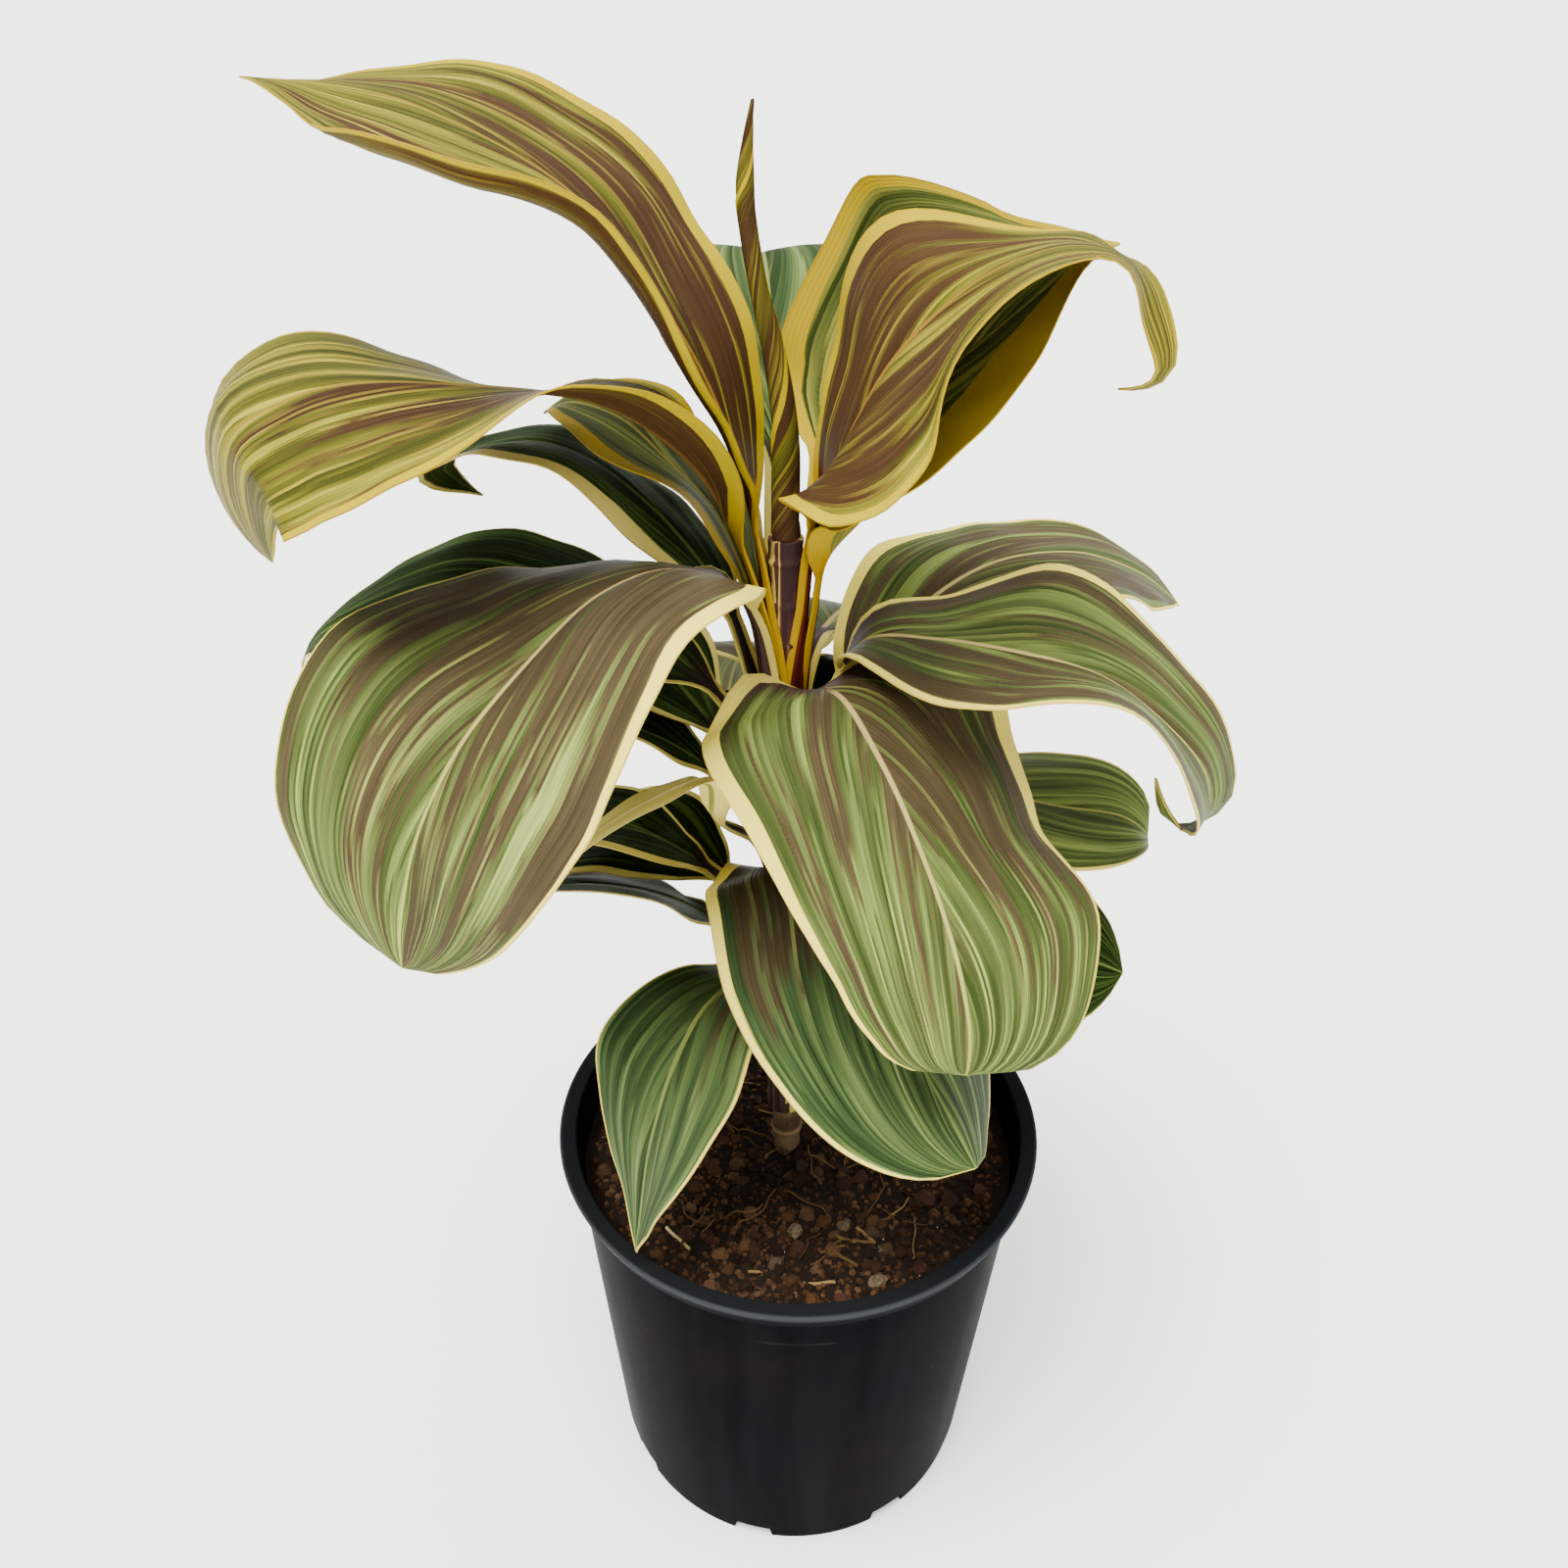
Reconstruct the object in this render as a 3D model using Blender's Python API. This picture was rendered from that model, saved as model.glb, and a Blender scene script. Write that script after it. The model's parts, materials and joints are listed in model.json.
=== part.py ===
# A ti plant in a round nursery pot: one cane in filled soil, a rolled spear at its top and 27 leaves around it.
# The model is in metres, +Z up. The origin is the centre of the pot's underside, and -Y is the plant's front.
# Driving dimensions are in millimetres, because leaf and pot sizes read best that way.

import bmesh
import bpy
import numpy as np
from math import cos, pi, radians, sin

MM = 0.001
GAP = 0.3                      # clearance between neighbouring pieces that touch on the real plant

# Pot: thin moulded plastic, wider at the top, with a rolled rim band and drain slots round its foot
POT_HEIGHT = 190.0
POT_FOOT_RADIUS = 84.0
POT_BODY_RADIUS = 98.0         # just under the rim band
POT_WALL = 1.8
POT_WALL_FOOT_EXTRA = 0.4      # the wall is this much thicker at its foot
POT_FLOOR = 2.4
POT_FLOOR_CORNER = 2.0
POT_FLARE_HEIGHT = 8.0         # under the rim band, where the wall starts to flare
POT_SEGMENTS = 56
FOOT_STEP_HEIGHT = 9.0         # the low step above the foot
FOOT_STEP_DEPTH = 0.8
RIM_RADIUS = 105.0
RIM_BAND_HEIGHT = 10.0
RIM_BAND_FOOT_RADIUS = 101.3
RIM_LIP_WIDTH = 7.0
RIM_EDGE = 0.8                 # bevel of the rim's outer edge
DRAIN_SLOTS = 8
DRAIN_SLOT_TURN = 13.5         # degrees that one slot takes
DRAIN_FIRST_AZIMUTH = 257.5
DRAIN_SLOT_HEIGHT = 6.0
DRAIN_SLOT_INNER_RADIUS = 70.0
DRAIN_CUT_OVERSHOOT = 5.0      # how far the cut for a slot runs out of the wall and under the pot

# Soil: fills the pot to a little under its rim
SOIL_TOP = 172.0
SOIL_BOTTOM = 8.0              # clear of the drain slots
SOIL_SEGMENTS = 40
SOIL_RINGS = 8
SOIL_LUMP = 1.1
SOIL_LEVEL_BORDER = 12.0       # the lumps die away over this distance from the wall and from the cane
SOIL_FOOT_CORNER = 3.0

# Cane: a bare woody stem with ring scars, standing in a plain hole in the soil
CANE_FOOT = (-5.0, 0.0, 172.0)
CANE_HEAD = (-9.0, 0.0, 462.0)
CANE_RADIUS = 6.5              # at a scar
CANE_WAIST = 6.0               # between two scars
CANE_DEPTH_IN_SOIL = 45.0
CANE_SCAR_SPACING = 16.0
CANE_SEGMENTS = 12

# Spear: the youngest leaf, still rolled up on the tip of the cane
SPEAR_PATH = [(0, 462.3), (0, 477), (0.2, 493), (2.1, 510), (5.6, 528), (10, 547), (12.8, 564),
              (13.4, 573), (12.6, 584), (11, 595)]
SPEAR_RADIUS = [5.2, 5.3, 5.0, 4.6, 3.9, 3.3, 3.1, 3.1, 1.8, 0.6]
SPEAR_TURNS = 2.2
SPEAR_SEAM_STEP = 0.16         # how far the outer wrap stands over the inner one, as a share of the radius
SPEAR_RINGS = 20
SPEAR_SEGMENTS = 12
SPEAR_AZIMUTH = 180.0

# Leaves: a stalk that clasps the cane and opens into a thin blade
BLADE_THICKNESS = 0.8
STALK_THICKNESS = 1.5
STALK_WIDTH = 8.0
TIP_HALF_WIDTH = 0.8
STALK_RADIUS_AT_CANE = CANE_RADIUS + GAP + STALK_THICKNESS / 2 + 0.05

# Each leaf has its azimuth round the cane (degrees from +X towards +Y) and the points its midrib passes
# through, as (distance out from the cane, height). fold is how far each half rises from level (degrees),
# curl is how much more it turns by its margin, edge is a late turn in the margin alone, and share makes one
# half wider or narrower; each may be given along the midrib and for one side. roll turns the whole section.
# widest, base, point and tail shape the outline, stalk is the length of the bare stalk, and cells is how
# many divisions the leaf has along its length and across it.
ROOT = STALK_RADIUS_AT_CANE
LEAVES = {
    "leaf_top_left": dict(
        azimuth=178.4, width=104, stalk=30, widest=0.56, cells=(17, 8),
        rib=[(ROOT, 436), (10, 458.9), (15.6, 485.4), (25.9, 514.7), (40.6, 540.1), (58.1, 562.8),
             (83.2, 580.9), (109.4, 592), (136.6, 596.7), (158.4, 598.4)],
        fold_left=[11, 9, 2, -7, -3, -1, -11, -15, -12, 3],
        share_left=[1.03, 0.96, 0.88, 0.79, 0.73, 0.83, 1.08, 1.29, 1.23, 1.11],
        fold_right=[20, 21, 17, 18, 12, 12, 11, 8, -5, -19],
        share_right=[1, 1.04, 1.07, 1.09, 1.05, 1.02, 0.99, 0.97, 1, 1.01], curl_right=10,
        edge_left=[85, 85, 85, 85, 85, 85, 80, 65, 30, 0]),
    "leaf_top_right": dict(
        azimuth=338.2, width=119, stalk=34, widest=0.3, base=0.75, point=2.2, tail=12, cells=(18, 6),
        rib=[(ROOT, 438), (8.9, 456), (13.3, 480), (23.6, 505.4), (42.4, 536.2), (63.7, 554.3),
             (86.8, 562.6), (100.5, 559.9), (107.8, 546.7), (113.3, 530.5), (102.6, 524.6)],
        fold_left=[10, 20, 33, 35, 42, 9, -6, -9, 17, 38, 19],
        share_left=[1, 1, 0.8, 0.8, 0.88, 0.82, 0.93, 1.04, 1.16, 1.2, 1.17],
        fold_right=[10, 10, 5, -15, -25, -13, -1, 10, 5, -8, -29],
        share_right=[1, 1, 1, 1.3, 1.24, 1.13, 0.92, 0.97, 1.04, 1.07, 1.07]),
    "leaf_top_right_behind": dict(
        azimuth=357.5, width=120, stalk=42, widest=0.42, base=0.55, point=1.2, cells=(16, 6),
        rib=[(ROOT, 408), (10, 434), (13.5, 456), (25.6, 472.6), (34.3, 493.3), (45.5, 515.1),
             (61, 530.8), (76.3, 544.3), (88.2, 554.5), (97.4, 558.1)],
        fold_left=[0, 20, 26, 15, 9, 8, 22, 23, 21, 11],
        share_left=[1, 1, 1.1, 1.13, 1.18, 1.26, 1.46, 1.32, 1.11, 0.99],
        fold_right=[0, 20, 40, 21, 4, -9, -16, -13, -8, -2],
        share_right=[1, 1, 1, 1.02, 0.95, 0.85, 0.76, 0.7, 0.68, 0.97],
        curl_left=[0, 10, 28, 48, 68, 74, 68, 50, 22, 0]),
    "leaf_top_back": dict(
        azimuth=95, width=84, stalk=66, base=1.4, cells=(12, 6),
        rib=[(ROOT, 419), (23, 444), (47, 472), (74, 501), (102, 523), (130, 528), (154, 511)],
        fold=10, curl=-12),
    "leaf_upper_left": dict(
        azimuth=189.8, width=107, stalk=44, widest=0.62, point=0.7, cells=(18, 6),
        rib=[(ROOT, 416), (9.5, 432.3), (13.1, 448.8), (18.9, 466.7), (27.5, 484.6), (41.1, 499.4),
             (56.4, 508.5), (76.5, 514), (99.4, 517.3), (125.3, 518.5), (151.6, 515.2), (172.2, 504.1),
             (176.1, 484.7), (166.8, 462.7)],
        fold_left=[19, 21, 23, 27, 32, 30, 26, 17, -3, -13, -20, -24, -27, -28],
        share_left=[0.99, 1, 1.02, 1.03, 1.05, 1.03, 1.03, 1.03, 1.04, 1.02, 1.03, 1.06, 1.06, 1.06],
        fold_right=[20, 20, 22, 20, 18, 11, -3, -18, -15, 0, 14, 22, 28, 32],
        share_right=[1, 1, 1, 1, 1, 1, 1, 1, 1, 1, 1.02, 1.03, 1.02, 1],
        curl=[0, 0, 0, 0, 0, 0, 0, 0, 0, -10, -15, -20, -20, -20]),
    "leaf_upper_left_behind": dict(
        azimuth=148.4, width=72, stalk=38, cells=(12, 4),
        rib=[(ROOT, 396), (11.1, 421.3), (18.6, 445.2), (31.9, 467.3), (51.3, 480.5), (71, 490.8),
             (91.7, 491.9), (104.1, 486.2)],
        fold_left=[13, 20, 27, 27, 12, 2, -2, -1],
        share_left=[0.79, 0.76, 0.74, 0.74, 0.79, 0.87, 0.9, 0.89],
        fold_right=[10, 3, -5, -12, -13, 7, 14, 17],
        share_right=[1, 0.97, 0.95, 0.93, 0.96, 1.08, 1.1, 1.09]),
    "leaf_upper_back": dict(
        azimuth=74, width=80, stalk=48, base=0.7, cells=(12, 6),
        rib=[(ROOT, 388), (13, 401), (26, 407), (48, 405), (78, 400), (112, 386), (140, 362)],
        fold=6, curl=-12),
    "leaf_curled_left": dict(
        azimuth=157.3, width=73, stalk=54, cells=(14, 4),
        rib=[(ROOT, 376), (15, 408), (26, 437), (48.4, 461.5), (72.4, 477.1), (97.6, 481.5),
             (122.1, 474.7), (139, 466.2), (122.3, 457.5)],
        fold_left=[6, 6, 6, 4, 17, 14, 10, 7, 4], share_left=[1, 1, 0.9, 0.7, 0.85, 1, 1, 0.99, 0.99],
        fold_right=[0, 0, 0, -11, -17, -2, 8, 16, 20],
        share_right=[1, 1, 1, 0.96, 0.91, 0.87, 0.78, 0.68, 0.67], curl=-10),
    "leaf_dark_left": dict(
        azimuth=169.2, width=84, stalk=44, cells=(14, 6),
        rib=[(ROOT, 362), (19, 388.3), (38.1, 410.8), (65, 427.2), (95.1, 435.4), (127.6, 433.2),
             (157.2, 420.5), (182.5, 404.9), (191.2, 391.4)],
        fold_left=-6, fold_right=[12, 7, 2, 0, 6, 12, 14, 18, 27],
        share_right=[1, 0.97, 0.95, 0.93, 0.97, 1, 1, 0.99, 0.99], curl=-10),
    "leaf_broad_left": dict(
        azimuth=214.8, width=129, stalk=52, widest=0.5, base=0.8, point=0.55, cells=(18, 6),
        rib=[(ROOT, 390), (9.7, 412.8), (14.1, 434.9), (24.3, 452.2), (46.4, 461.9), (72.4, 458.5),
             (96.6, 443), (122.2, 421.6), (141.2, 392), (150.4, 363.9), (152.5, 345.1)],
        fold_left=[7, 6, 7, 10, 13, 23, 27, 26, 26, 14, 1],
        share_left=[0.99, 1.01, 1.03, 1.06, 1.08, 1.05, 1.05, 1.02, 0.99, 0.98, 0.98],
        fold_right=[-1, 4, -2, -10, -9, -11, -6, 2, 5, 8, 10],
        share_right=[1, 1, 0.59, 0.58, 0.82, 0.97, 1, 1.05, 1.06, 1.07, 1.06], curl=-16,
        roll=[0, 0, 0, 0, 0, -8, -17, -28, -34, -30, -20]),
    "leaf_broad_front": dict(
        azimuth=297.9, width=152, stalk=40, widest=0.5, base=0.42, point=0.5, cells=(16, 6),
        rib=[(ROOT, 378), (10.5, 398), (22, 414), (38.2, 419), (65.8, 408.9), (94.8, 388.5),
             (117.4, 361.7), (126.9, 340), (126.8, 324.9)],
        fold_left=[0, 6, 14, 15, 1, -5, 10, 24, 41],
        share_left=[0.6, 0.6, 0.7, 1, 0.86, 0.79, 0.87, 0.88, 0.97],
        fold_right=[0, -5, -12, 10, 2, -12, -20, -17, -6],
        share_right=[1, 1, 1, 1.03, 0.73, 0.6, 0.59, 0.67, 0.89], curl=-26),
    "leaf_arching_right": dict(
        azimuth=341.9, width=89, stalk=58, base=0.6, point=1.4, tail=10, cells=(18, 6),
        rib=[(ROOT, 362), (13.5, 396), (29, 428.9), (52.2, 432.9), (81.7, 433.2), (110.7, 427.4),
             (132.9, 413.8), (147.4, 397.9), (150, 383.7), (142.5, 377.1), (131.6, 393.8)],
        fold_left=[14, 14, 14, 9, 23, 15, 12, 21, 29, 37, 38],
        share_left=[1, 1, 1, 0.99, 1.08, 1.06, 1.02, 1.03, 1.03, 1.01, 0.99],
        fold_right=[0, 4, 8, 2, 8, 26, 20, 3, -10, -23, -24],
        share_right=[1, 1, 1, 1.03, 1.05, 1.03, 1.03, 1.04, 1.04, 1.05, 1.05], curl=-12),
    "leaf_arching_right_behind": dict(
        azimuth=25.1, width=88, stalk=46, base=0.6, cells=(14, 6),
        rib=[(ROOT, 352), (16, 378), (34, 406.5), (58.4, 429.9), (89.7, 439.6), (121.2, 436.6),
             (152.6, 422.4), (174.4, 405.1)],
        fold_left=[9, 11, 12, 6, -3, 3, 18, 25],
        share_left=[1.03, 1.08, 1.12, 1.11, 1.04, 1.01, 1.02, 1.02],
        fold_right=[-11, -8, -5, 0, 2, -4, -16, -21],
        share_right=[1.01, 0.99, 0.97, 0.94, 0.92, 0.94, 1.01, 1.05], curl=-8),
    "leaf_middle_back": dict(
        azimuth=101, width=84, stalk=52, base=0.7, cells=(12, 6),
        rib=[(ROOT, 356), (15, 376), (34, 388), (62, 390), (96, 374), (130, 346), (156, 312)],
        fold=8, curl=-12, share_left=[0.85, 0.85, 0.8, 0.8, 0.85, 0.9, 1]),
    "leaf_middle_left_behind": dict(
        azimuth=149.4, width=66, stalk=40, cells=(12, 4),
        rib=[(ROOT, 344), (20.5, 365.9), (41, 385.9), (65.6, 401.7), (97.6, 402), (129.6, 384.3)],
        fold_left=[7, 8, 10, 11, 10, 9], share_left=[1.01, 1, 0.98, 0.98, 0.98, 0.99], fold_right=8,
        curl=-5),
    "leaf_middle_left": dict(
        azimuth=181.2, width=66, stalk=40, cells=(12, 4),
        rib=[(ROOT, 334), (18, 357), (38, 377.5), (63, 389.5), (96, 387), (127.6, 364.9)],
        fold_left=[4, 10, 17, 26, 22, 16], share_left=[1.01, 1.01, 1, 0.99, 0.99, 0.99], fold_right=8,
        curl=-5),
    "leaf_middle_right_behind": dict(
        azimuth=58, width=78, stalk=42, base=0.7, cells=(12, 4),
        rib=[(ROOT, 334), (16, 355), (36, 372), (62, 377), (94, 366), (128, 338), (152, 306)],
        fold=6, curl=-10),
    "leaf_low_right": dict(
        azimuth=356.7, width=84, stalk=40, widest=0.55, base=0.6, point=0.6, cells=(12, 6),
        rib=[(ROOT, 330), (18.3, 347.7), (42.5, 359.6), (70.7, 362.5), (100.9, 359.5), (127, 355.4),
             (136.3, 348)],
        fold_left=[4, 2, -1, -1, 4, 17, 30], share_left=[1, 0.98, 0.96, 0.95, 0.97, 1.04, 1.12],
        fold_right=[5, 6, 6, 6, 5, 2, 4], share_right=[1, 1, 1, 0.99, 0.99, 0.99, 0.96], curl=-10),
    "leaf_drooping_left": dict(
        azimuth=208.8, width=44, stalk=40, cells=(12, 4),
        rib=[(ROOT, 322), (15, 342), (29.9, 357.1), (32.2, 373.8), (56.2, 373), (82.5, 362.1),
             (95.9, 348.5)],
        fold_left=[0, 0, 0, 3, 3, 3, 7], share_left=[0.75, 0.75, 0.7, 0.69, 0.69, 0.68, 0.7],
        fold_right=[0, 0, 0, 16, 17, 11, 4], share_right=[1, 1, 0.7, 0.49, 0.45, 0.58, 0.9],
        edge_left=-60, roll=[0, 0, 20, 34, 34, 30, 26]),
    "leaf_low_back": dict(
        azimuth=84, width=82, stalk=40, base=0.7, cells=(12, 6),
        rib=[(ROOT, 316), (17, 339), (38, 354), (66, 357), (98, 346), (128, 320), (148, 292)],
        fold=8, curl=-14),
    "leaf_low_front": dict(
        azimuth=302, width=121, stalk=26, widest=0.5, base=0.42, point=0.55, cells=(14, 6),
        rib=[(ROOT, 300), (10.5, 317), (11.3, 333.1), (28.5, 337), (52.8, 322.3), (80, 302.6),
             (106.4, 286.5), (125.5, 275.4)],
        fold_left=[-5, -5, -5, -5, -9, -15, -26, -34],
        share_left=[0.6, 0.5, 0.45, 0.42, 0.52, 0.8, 0.89, 0.86],
        fold_right=[-5, -5, 11, 22, 19, 11, 2, -7],
        share_right=[1, 1, 1.11, 1.14, 1.05, 0.92, 0.9, 0.93], curl=-20),
    "leaf_low_back_right": dict(
        azimuth=36, width=78, stalk=38, base=0.7, cells=(12, 4),
        rib=[(ROOT, 296), (17, 318), (38, 334), (66, 340), (96, 330), (122, 308), (138, 282)],
        fold=8, curl=-14),
    "leaf_low_left": dict(
        azimuth=173.9, width=67, stalk=40, cells=(12, 4),
        rib=[(ROOT, 290), (19.1, 308.8), (39.7, 327.4), (65.3, 340.2), (98, 336.9), (131, 314.9)],
        fold_left=[4, 12, 18, 20, 18, 14], share_left=[1.02, 1.01, 1, 0.98, 0.98, 0.98],
        fold_right=[7, 2, -3, -5, -1, 3], share_right=[1, 0.98, 0.96, 0.94, 0.96, 0.98], curl=-5),
    "leaf_lowest_back": dict(
        azimuth=154, width=72, stalk=38, base=0.7, cells=(12, 4),
        rib=[(ROOT, 280), (17, 300), (38, 317), (64, 323), (92, 314), (116, 296), (130, 276)],
        fold=6, curl=-14),
    "leaf_lowest_left": dict(
        azimuth=187.8, width=68, stalk=40, cells=(12, 4),
        rib=[(ROOT, 267), (17.5, 288.3), (36.2, 307.5), (60.9, 320.3), (89.5, 323.9), (119.7, 314)],
        fold_left=[2, 10, 20, 31, 34, 30], share_left=[1.03, 1.04, 1.03, 1, 0.98, 0.97],
        fold_right=[-10, -12, -17, -25, -27, -24], share_right=[1.02, 1.02, 1.02, 1, 0.99, 0.98],
        curl=-5),
    "leaf_lowest_right": dict(
        azimuth=345.2, width=101, stalk=44, widest=0.55, base=0.6, point=0.7, cells=(12, 4),
        rib=[(ROOT, 262), (20, 280), (42, 293), (69.7, 301), (97.3, 305), (119.4, 305), (131.6, 302.1)],
        fold_left=[5, 5, 5, 6, 8, 10, 9], share_left=[1, 1, 1, 1.01, 1.03, 1.04, 1.04],
        fold_right=[-20, -24, -32, -34, -30, -22, -20], share_right=[1, 0.9, 0.5, 0.34, 0.34, 0.8, 0.96],
        curl=-10),
    "leaf_pot_left": dict(
        azimuth=234.7, width=70, stalk=28, widest=0.36, base=0.7, cells=(14, 6),
        rib=[(ROOT, 256), (17.1, 276.5), (33.6, 289.4), (55.2, 290.1), (72.7, 276.1), (85.7, 251.6),
             (94, 224.7), (99.4, 197.6)],
        fold_left=[14, 16, 18, 19, 15, 18, 25, 28],
        share_left=[1, 0.98, 0.97, 0.96, 0.99, 0.92, 0.79, 0.74],
        fold_right=[9, 10, 12, 13, 17, 10, -1, -6],
        share_right=[0.77, 0.76, 0.77, 0.8, 0.94, 0.92, 0.81, 0.72], curl=-10, roll=5),
}

# Colours as linear RGB, each the mean colour of its piece
BLACK_PLASTIC = (0.012, 0.011, 0.012)
DARK_SOIL = (0.045, 0.028, 0.018)
BROWN_CANE = (0.14, 0.085, 0.05)
YOUNG_LEAF = (0.23, 0.15, 0.06)
MIDDLE_LEAF = (0.13, 0.15, 0.06)
OLD_LEAF = (0.04, 0.085, 0.03)
YOUNG_FROM = 405.0             # a leaf that starts above this height is young
MIDDLE_FROM = 350.0


def clear_scene():
    for thing in list(bpy.data.objects):
        bpy.data.objects.remove(thing, do_unlink=True)


def material(name, colour, roughness):
    made = bpy.data.materials.new(name)
    made.use_nodes = True
    shader = made.node_tree.nodes["Principled BSDF"]
    shader.inputs["Base Color"].default_value = (*colour, 1.0)
    shader.inputs["Roughness"].default_value = roughness
    shader.inputs["Metallic"].default_value = 0.0
    return made


def add_object(name, points, faces, colour, roughness, smooth_angle=35.0):
    """Makes one closed solid of points in millimetres, shaded smooth except over its sharp edges."""
    mesh = bpy.data.meshes.new(name)
    mesh.from_pydata([tuple(float(x) * MM for x in p) for p in points], [], faces)
    mesh.validate()
    shell = bmesh.new()
    shell.from_mesh(mesh)
    bmesh.ops.recalc_face_normals(shell, faces=shell.faces)
    shell.to_mesh(mesh)
    shell.free()
    mesh.shade_smooth()
    mesh.set_sharp_from_angle(angle=radians(smooth_angle))
    mesh.materials.append(material(name + "_material", colour, roughness))
    thing = bpy.data.objects.new(name, mesh)
    bpy.context.scene.collection.objects.link(thing)
    return thing


def skin_rings(rings):
    """Faces between successive closed rings of equal count, with a flat cap on the first and the last ring."""
    count = len(rings[0])
    points = [p for ring in rings for p in ring]
    faces = []
    for i in range(len(rings) - 1):
        for j in range(count):
            k = (j + 1) % count
            faces.append((i * count + j, i * count + k, (i + 1) * count + k, (i + 1) * count + j))
    faces.append(tuple(range(count)))
    faces.append(tuple(range((len(rings) - 1) * count, len(rings) * count)))
    return points, faces


def ring(radius, height, count, centre=(0.0, 0.0)):
    turn = [2 * pi * k / count for k in range(count)]
    return [(centre[0] + radius * cos(a), centre[1] + radius * sin(a), height) for a in turn]


def wall_radius(height):
    """The pot's outer radius below its rim band."""
    span = POT_HEIGHT - RIM_BAND_HEIGHT
    return POT_FOOT_RADIUS + (POT_BODY_RADIUS - POT_FOOT_RADIUS) * height / span


def drain_slot_cutter():
    """Wedges through the foot of the wall and the outer floor, which guide the difference and don't show."""
    points, faces = [], []
    half = radians(DRAIN_SLOT_TURN) / 2
    inner, outer = DRAIN_SLOT_INNER_RADIUS, POT_FOOT_RADIUS + DRAIN_CUT_OVERSHOOT
    for k in range(DRAIN_SLOTS):
        middle = radians(DRAIN_FIRST_AZIMUTH + 360 / DRAIN_SLOTS * k)
        first = len(points)
        for z in (-DRAIN_CUT_OVERSHOOT, DRAIN_SLOT_HEIGHT):
            for r, a in ((inner, -half), (outer, -half), (outer, half), (inner, half)):
                points.append((r * cos(middle + a), r * sin(middle + a), z))
        faces += [tuple(first + i for i in side) for side in
                  ((3, 2, 1, 0), (4, 5, 6, 7), (0, 1, 5, 4), (1, 2, 6, 5), (2, 3, 7, 6), (3, 0, 4, 7))]
    cutter = add_object("drain_slot_cutter", points, faces, BLACK_PLASTIC, 0.5)
    cutter.hide_render = True
    cutter.display_type = "WIRE"
    return cutter


def make_pot():
    """A turned shell: up the outside, over the rim band and lip, and down the inside to the floor."""
    step = FOOT_STEP_HEIGHT
    under_band = POT_HEIGHT - RIM_BAND_HEIGHT
    flare = under_band - POT_FLARE_HEIGHT
    inner_top = RIM_RADIUS - RIM_LIP_WIDTH
    profile = [
        (POT_FOOT_RADIUS - FOOT_STEP_DEPTH, 0.0),
        (wall_radius(step) - FOOT_STEP_DEPTH, step - FOOT_STEP_DEPTH),
        (wall_radius(step), step),
        (wall_radius(flare), flare),
        (POT_BODY_RADIUS, under_band),
        (RIM_BAND_FOOT_RADIUS, under_band),
        (RIM_RADIUS, POT_HEIGHT - RIM_EDGE),
        (RIM_RADIUS - RIM_EDGE, POT_HEIGHT),
        (inner_top, POT_HEIGHT),
        (inner_top - RIM_EDGE, POT_HEIGHT - 2 * RIM_EDGE),
        (wall_radius(flare) - POT_WALL, flare),
        (wall_radius(step) - POT_WALL - POT_WALL_FOOT_EXTRA, step),
        (POT_FOOT_RADIUS - POT_WALL - POT_FLOOR_CORNER, POT_FLOOR),
    ]
    pot = add_object("pot", *skin_rings([ring(r, z, POT_SEGMENTS) for r, z in profile]), BLACK_PLASTIC, 0.42)
    cut = pot.modifiers.new("drain slots", "BOOLEAN")
    cut.operation = "DIFFERENCE"
    cut.solver = "EXACT"
    cut.object = drain_slot_cutter()
    return pot


def cane_at(height):
    foot, head = np.array(CANE_FOOT), np.array(CANE_HEAD)
    return foot + (head - foot) * (height - foot[2]) / (head[2] - foot[2])


def soil_height(x, y):
    """Low lumps in the soil's surface, flat by the wall and by the cane."""
    to_wall = np.clip((POT_BODY_RADIUS - np.hypot(x, y)) / SOIL_LEVEL_BORDER, 0, 1)
    to_cane = np.clip((np.hypot(x - CANE_FOOT[0], y) - CANE_RADIUS) / SOIL_LEVEL_BORDER, 0, 1)
    lumps = sin(x / 7.1 + 1.0) * cos(y / 8.3 - 0.4) + 0.6 * sin(x / 3.7 - y / 4.9) + 0.5 * cos(y / 3.1 + x / 11)
    return SOIL_TOP + SOIL_LUMP * lumps * to_wall * to_cane


def make_soil():
    """Rings run from the bottom of the cane's hole up, over the surface, and down the pot's inside."""
    hole = CANE_RADIUS + GAP
    fit = POT_WALL + POT_WALL_FOOT_EXTRA + GAP
    hole_floor = SOIL_TOP - CANE_DEPTH_IN_SOIL - GAP
    floor_centre = cane_at(hole_floor)
    rings = [ring(hole, hole_floor, SOIL_SEGMENTS, floor_centre[:2])]
    rim_radius = wall_radius(SOIL_TOP) - fit
    for i in range(SOIL_RINGS + 1):
        t = i / SOIL_RINGS
        centre = (CANE_FOOT[0] * (1 - t), CANE_FOOT[1] * (1 - t))
        flat = ring(hole + (rim_radius - hole) * t**0.9, SOIL_TOP, SOIL_SEGMENTS, centre)
        rings.append([(x, y, soil_height(x, y)) for x, y, _ in flat])
    foot_radius = wall_radius(FOOT_STEP_HEIGHT) - fit - GAP
    rings.append(ring(foot_radius, SOIL_BOTTOM + SOIL_FOOT_CORNER, SOIL_SEGMENTS))
    rings.append(ring(foot_radius - SOIL_FOOT_CORNER, SOIL_BOTTOM, SOIL_SEGMENTS))
    return add_object("soil", *skin_rings(rings), DARK_SOIL, 0.95)


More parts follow.
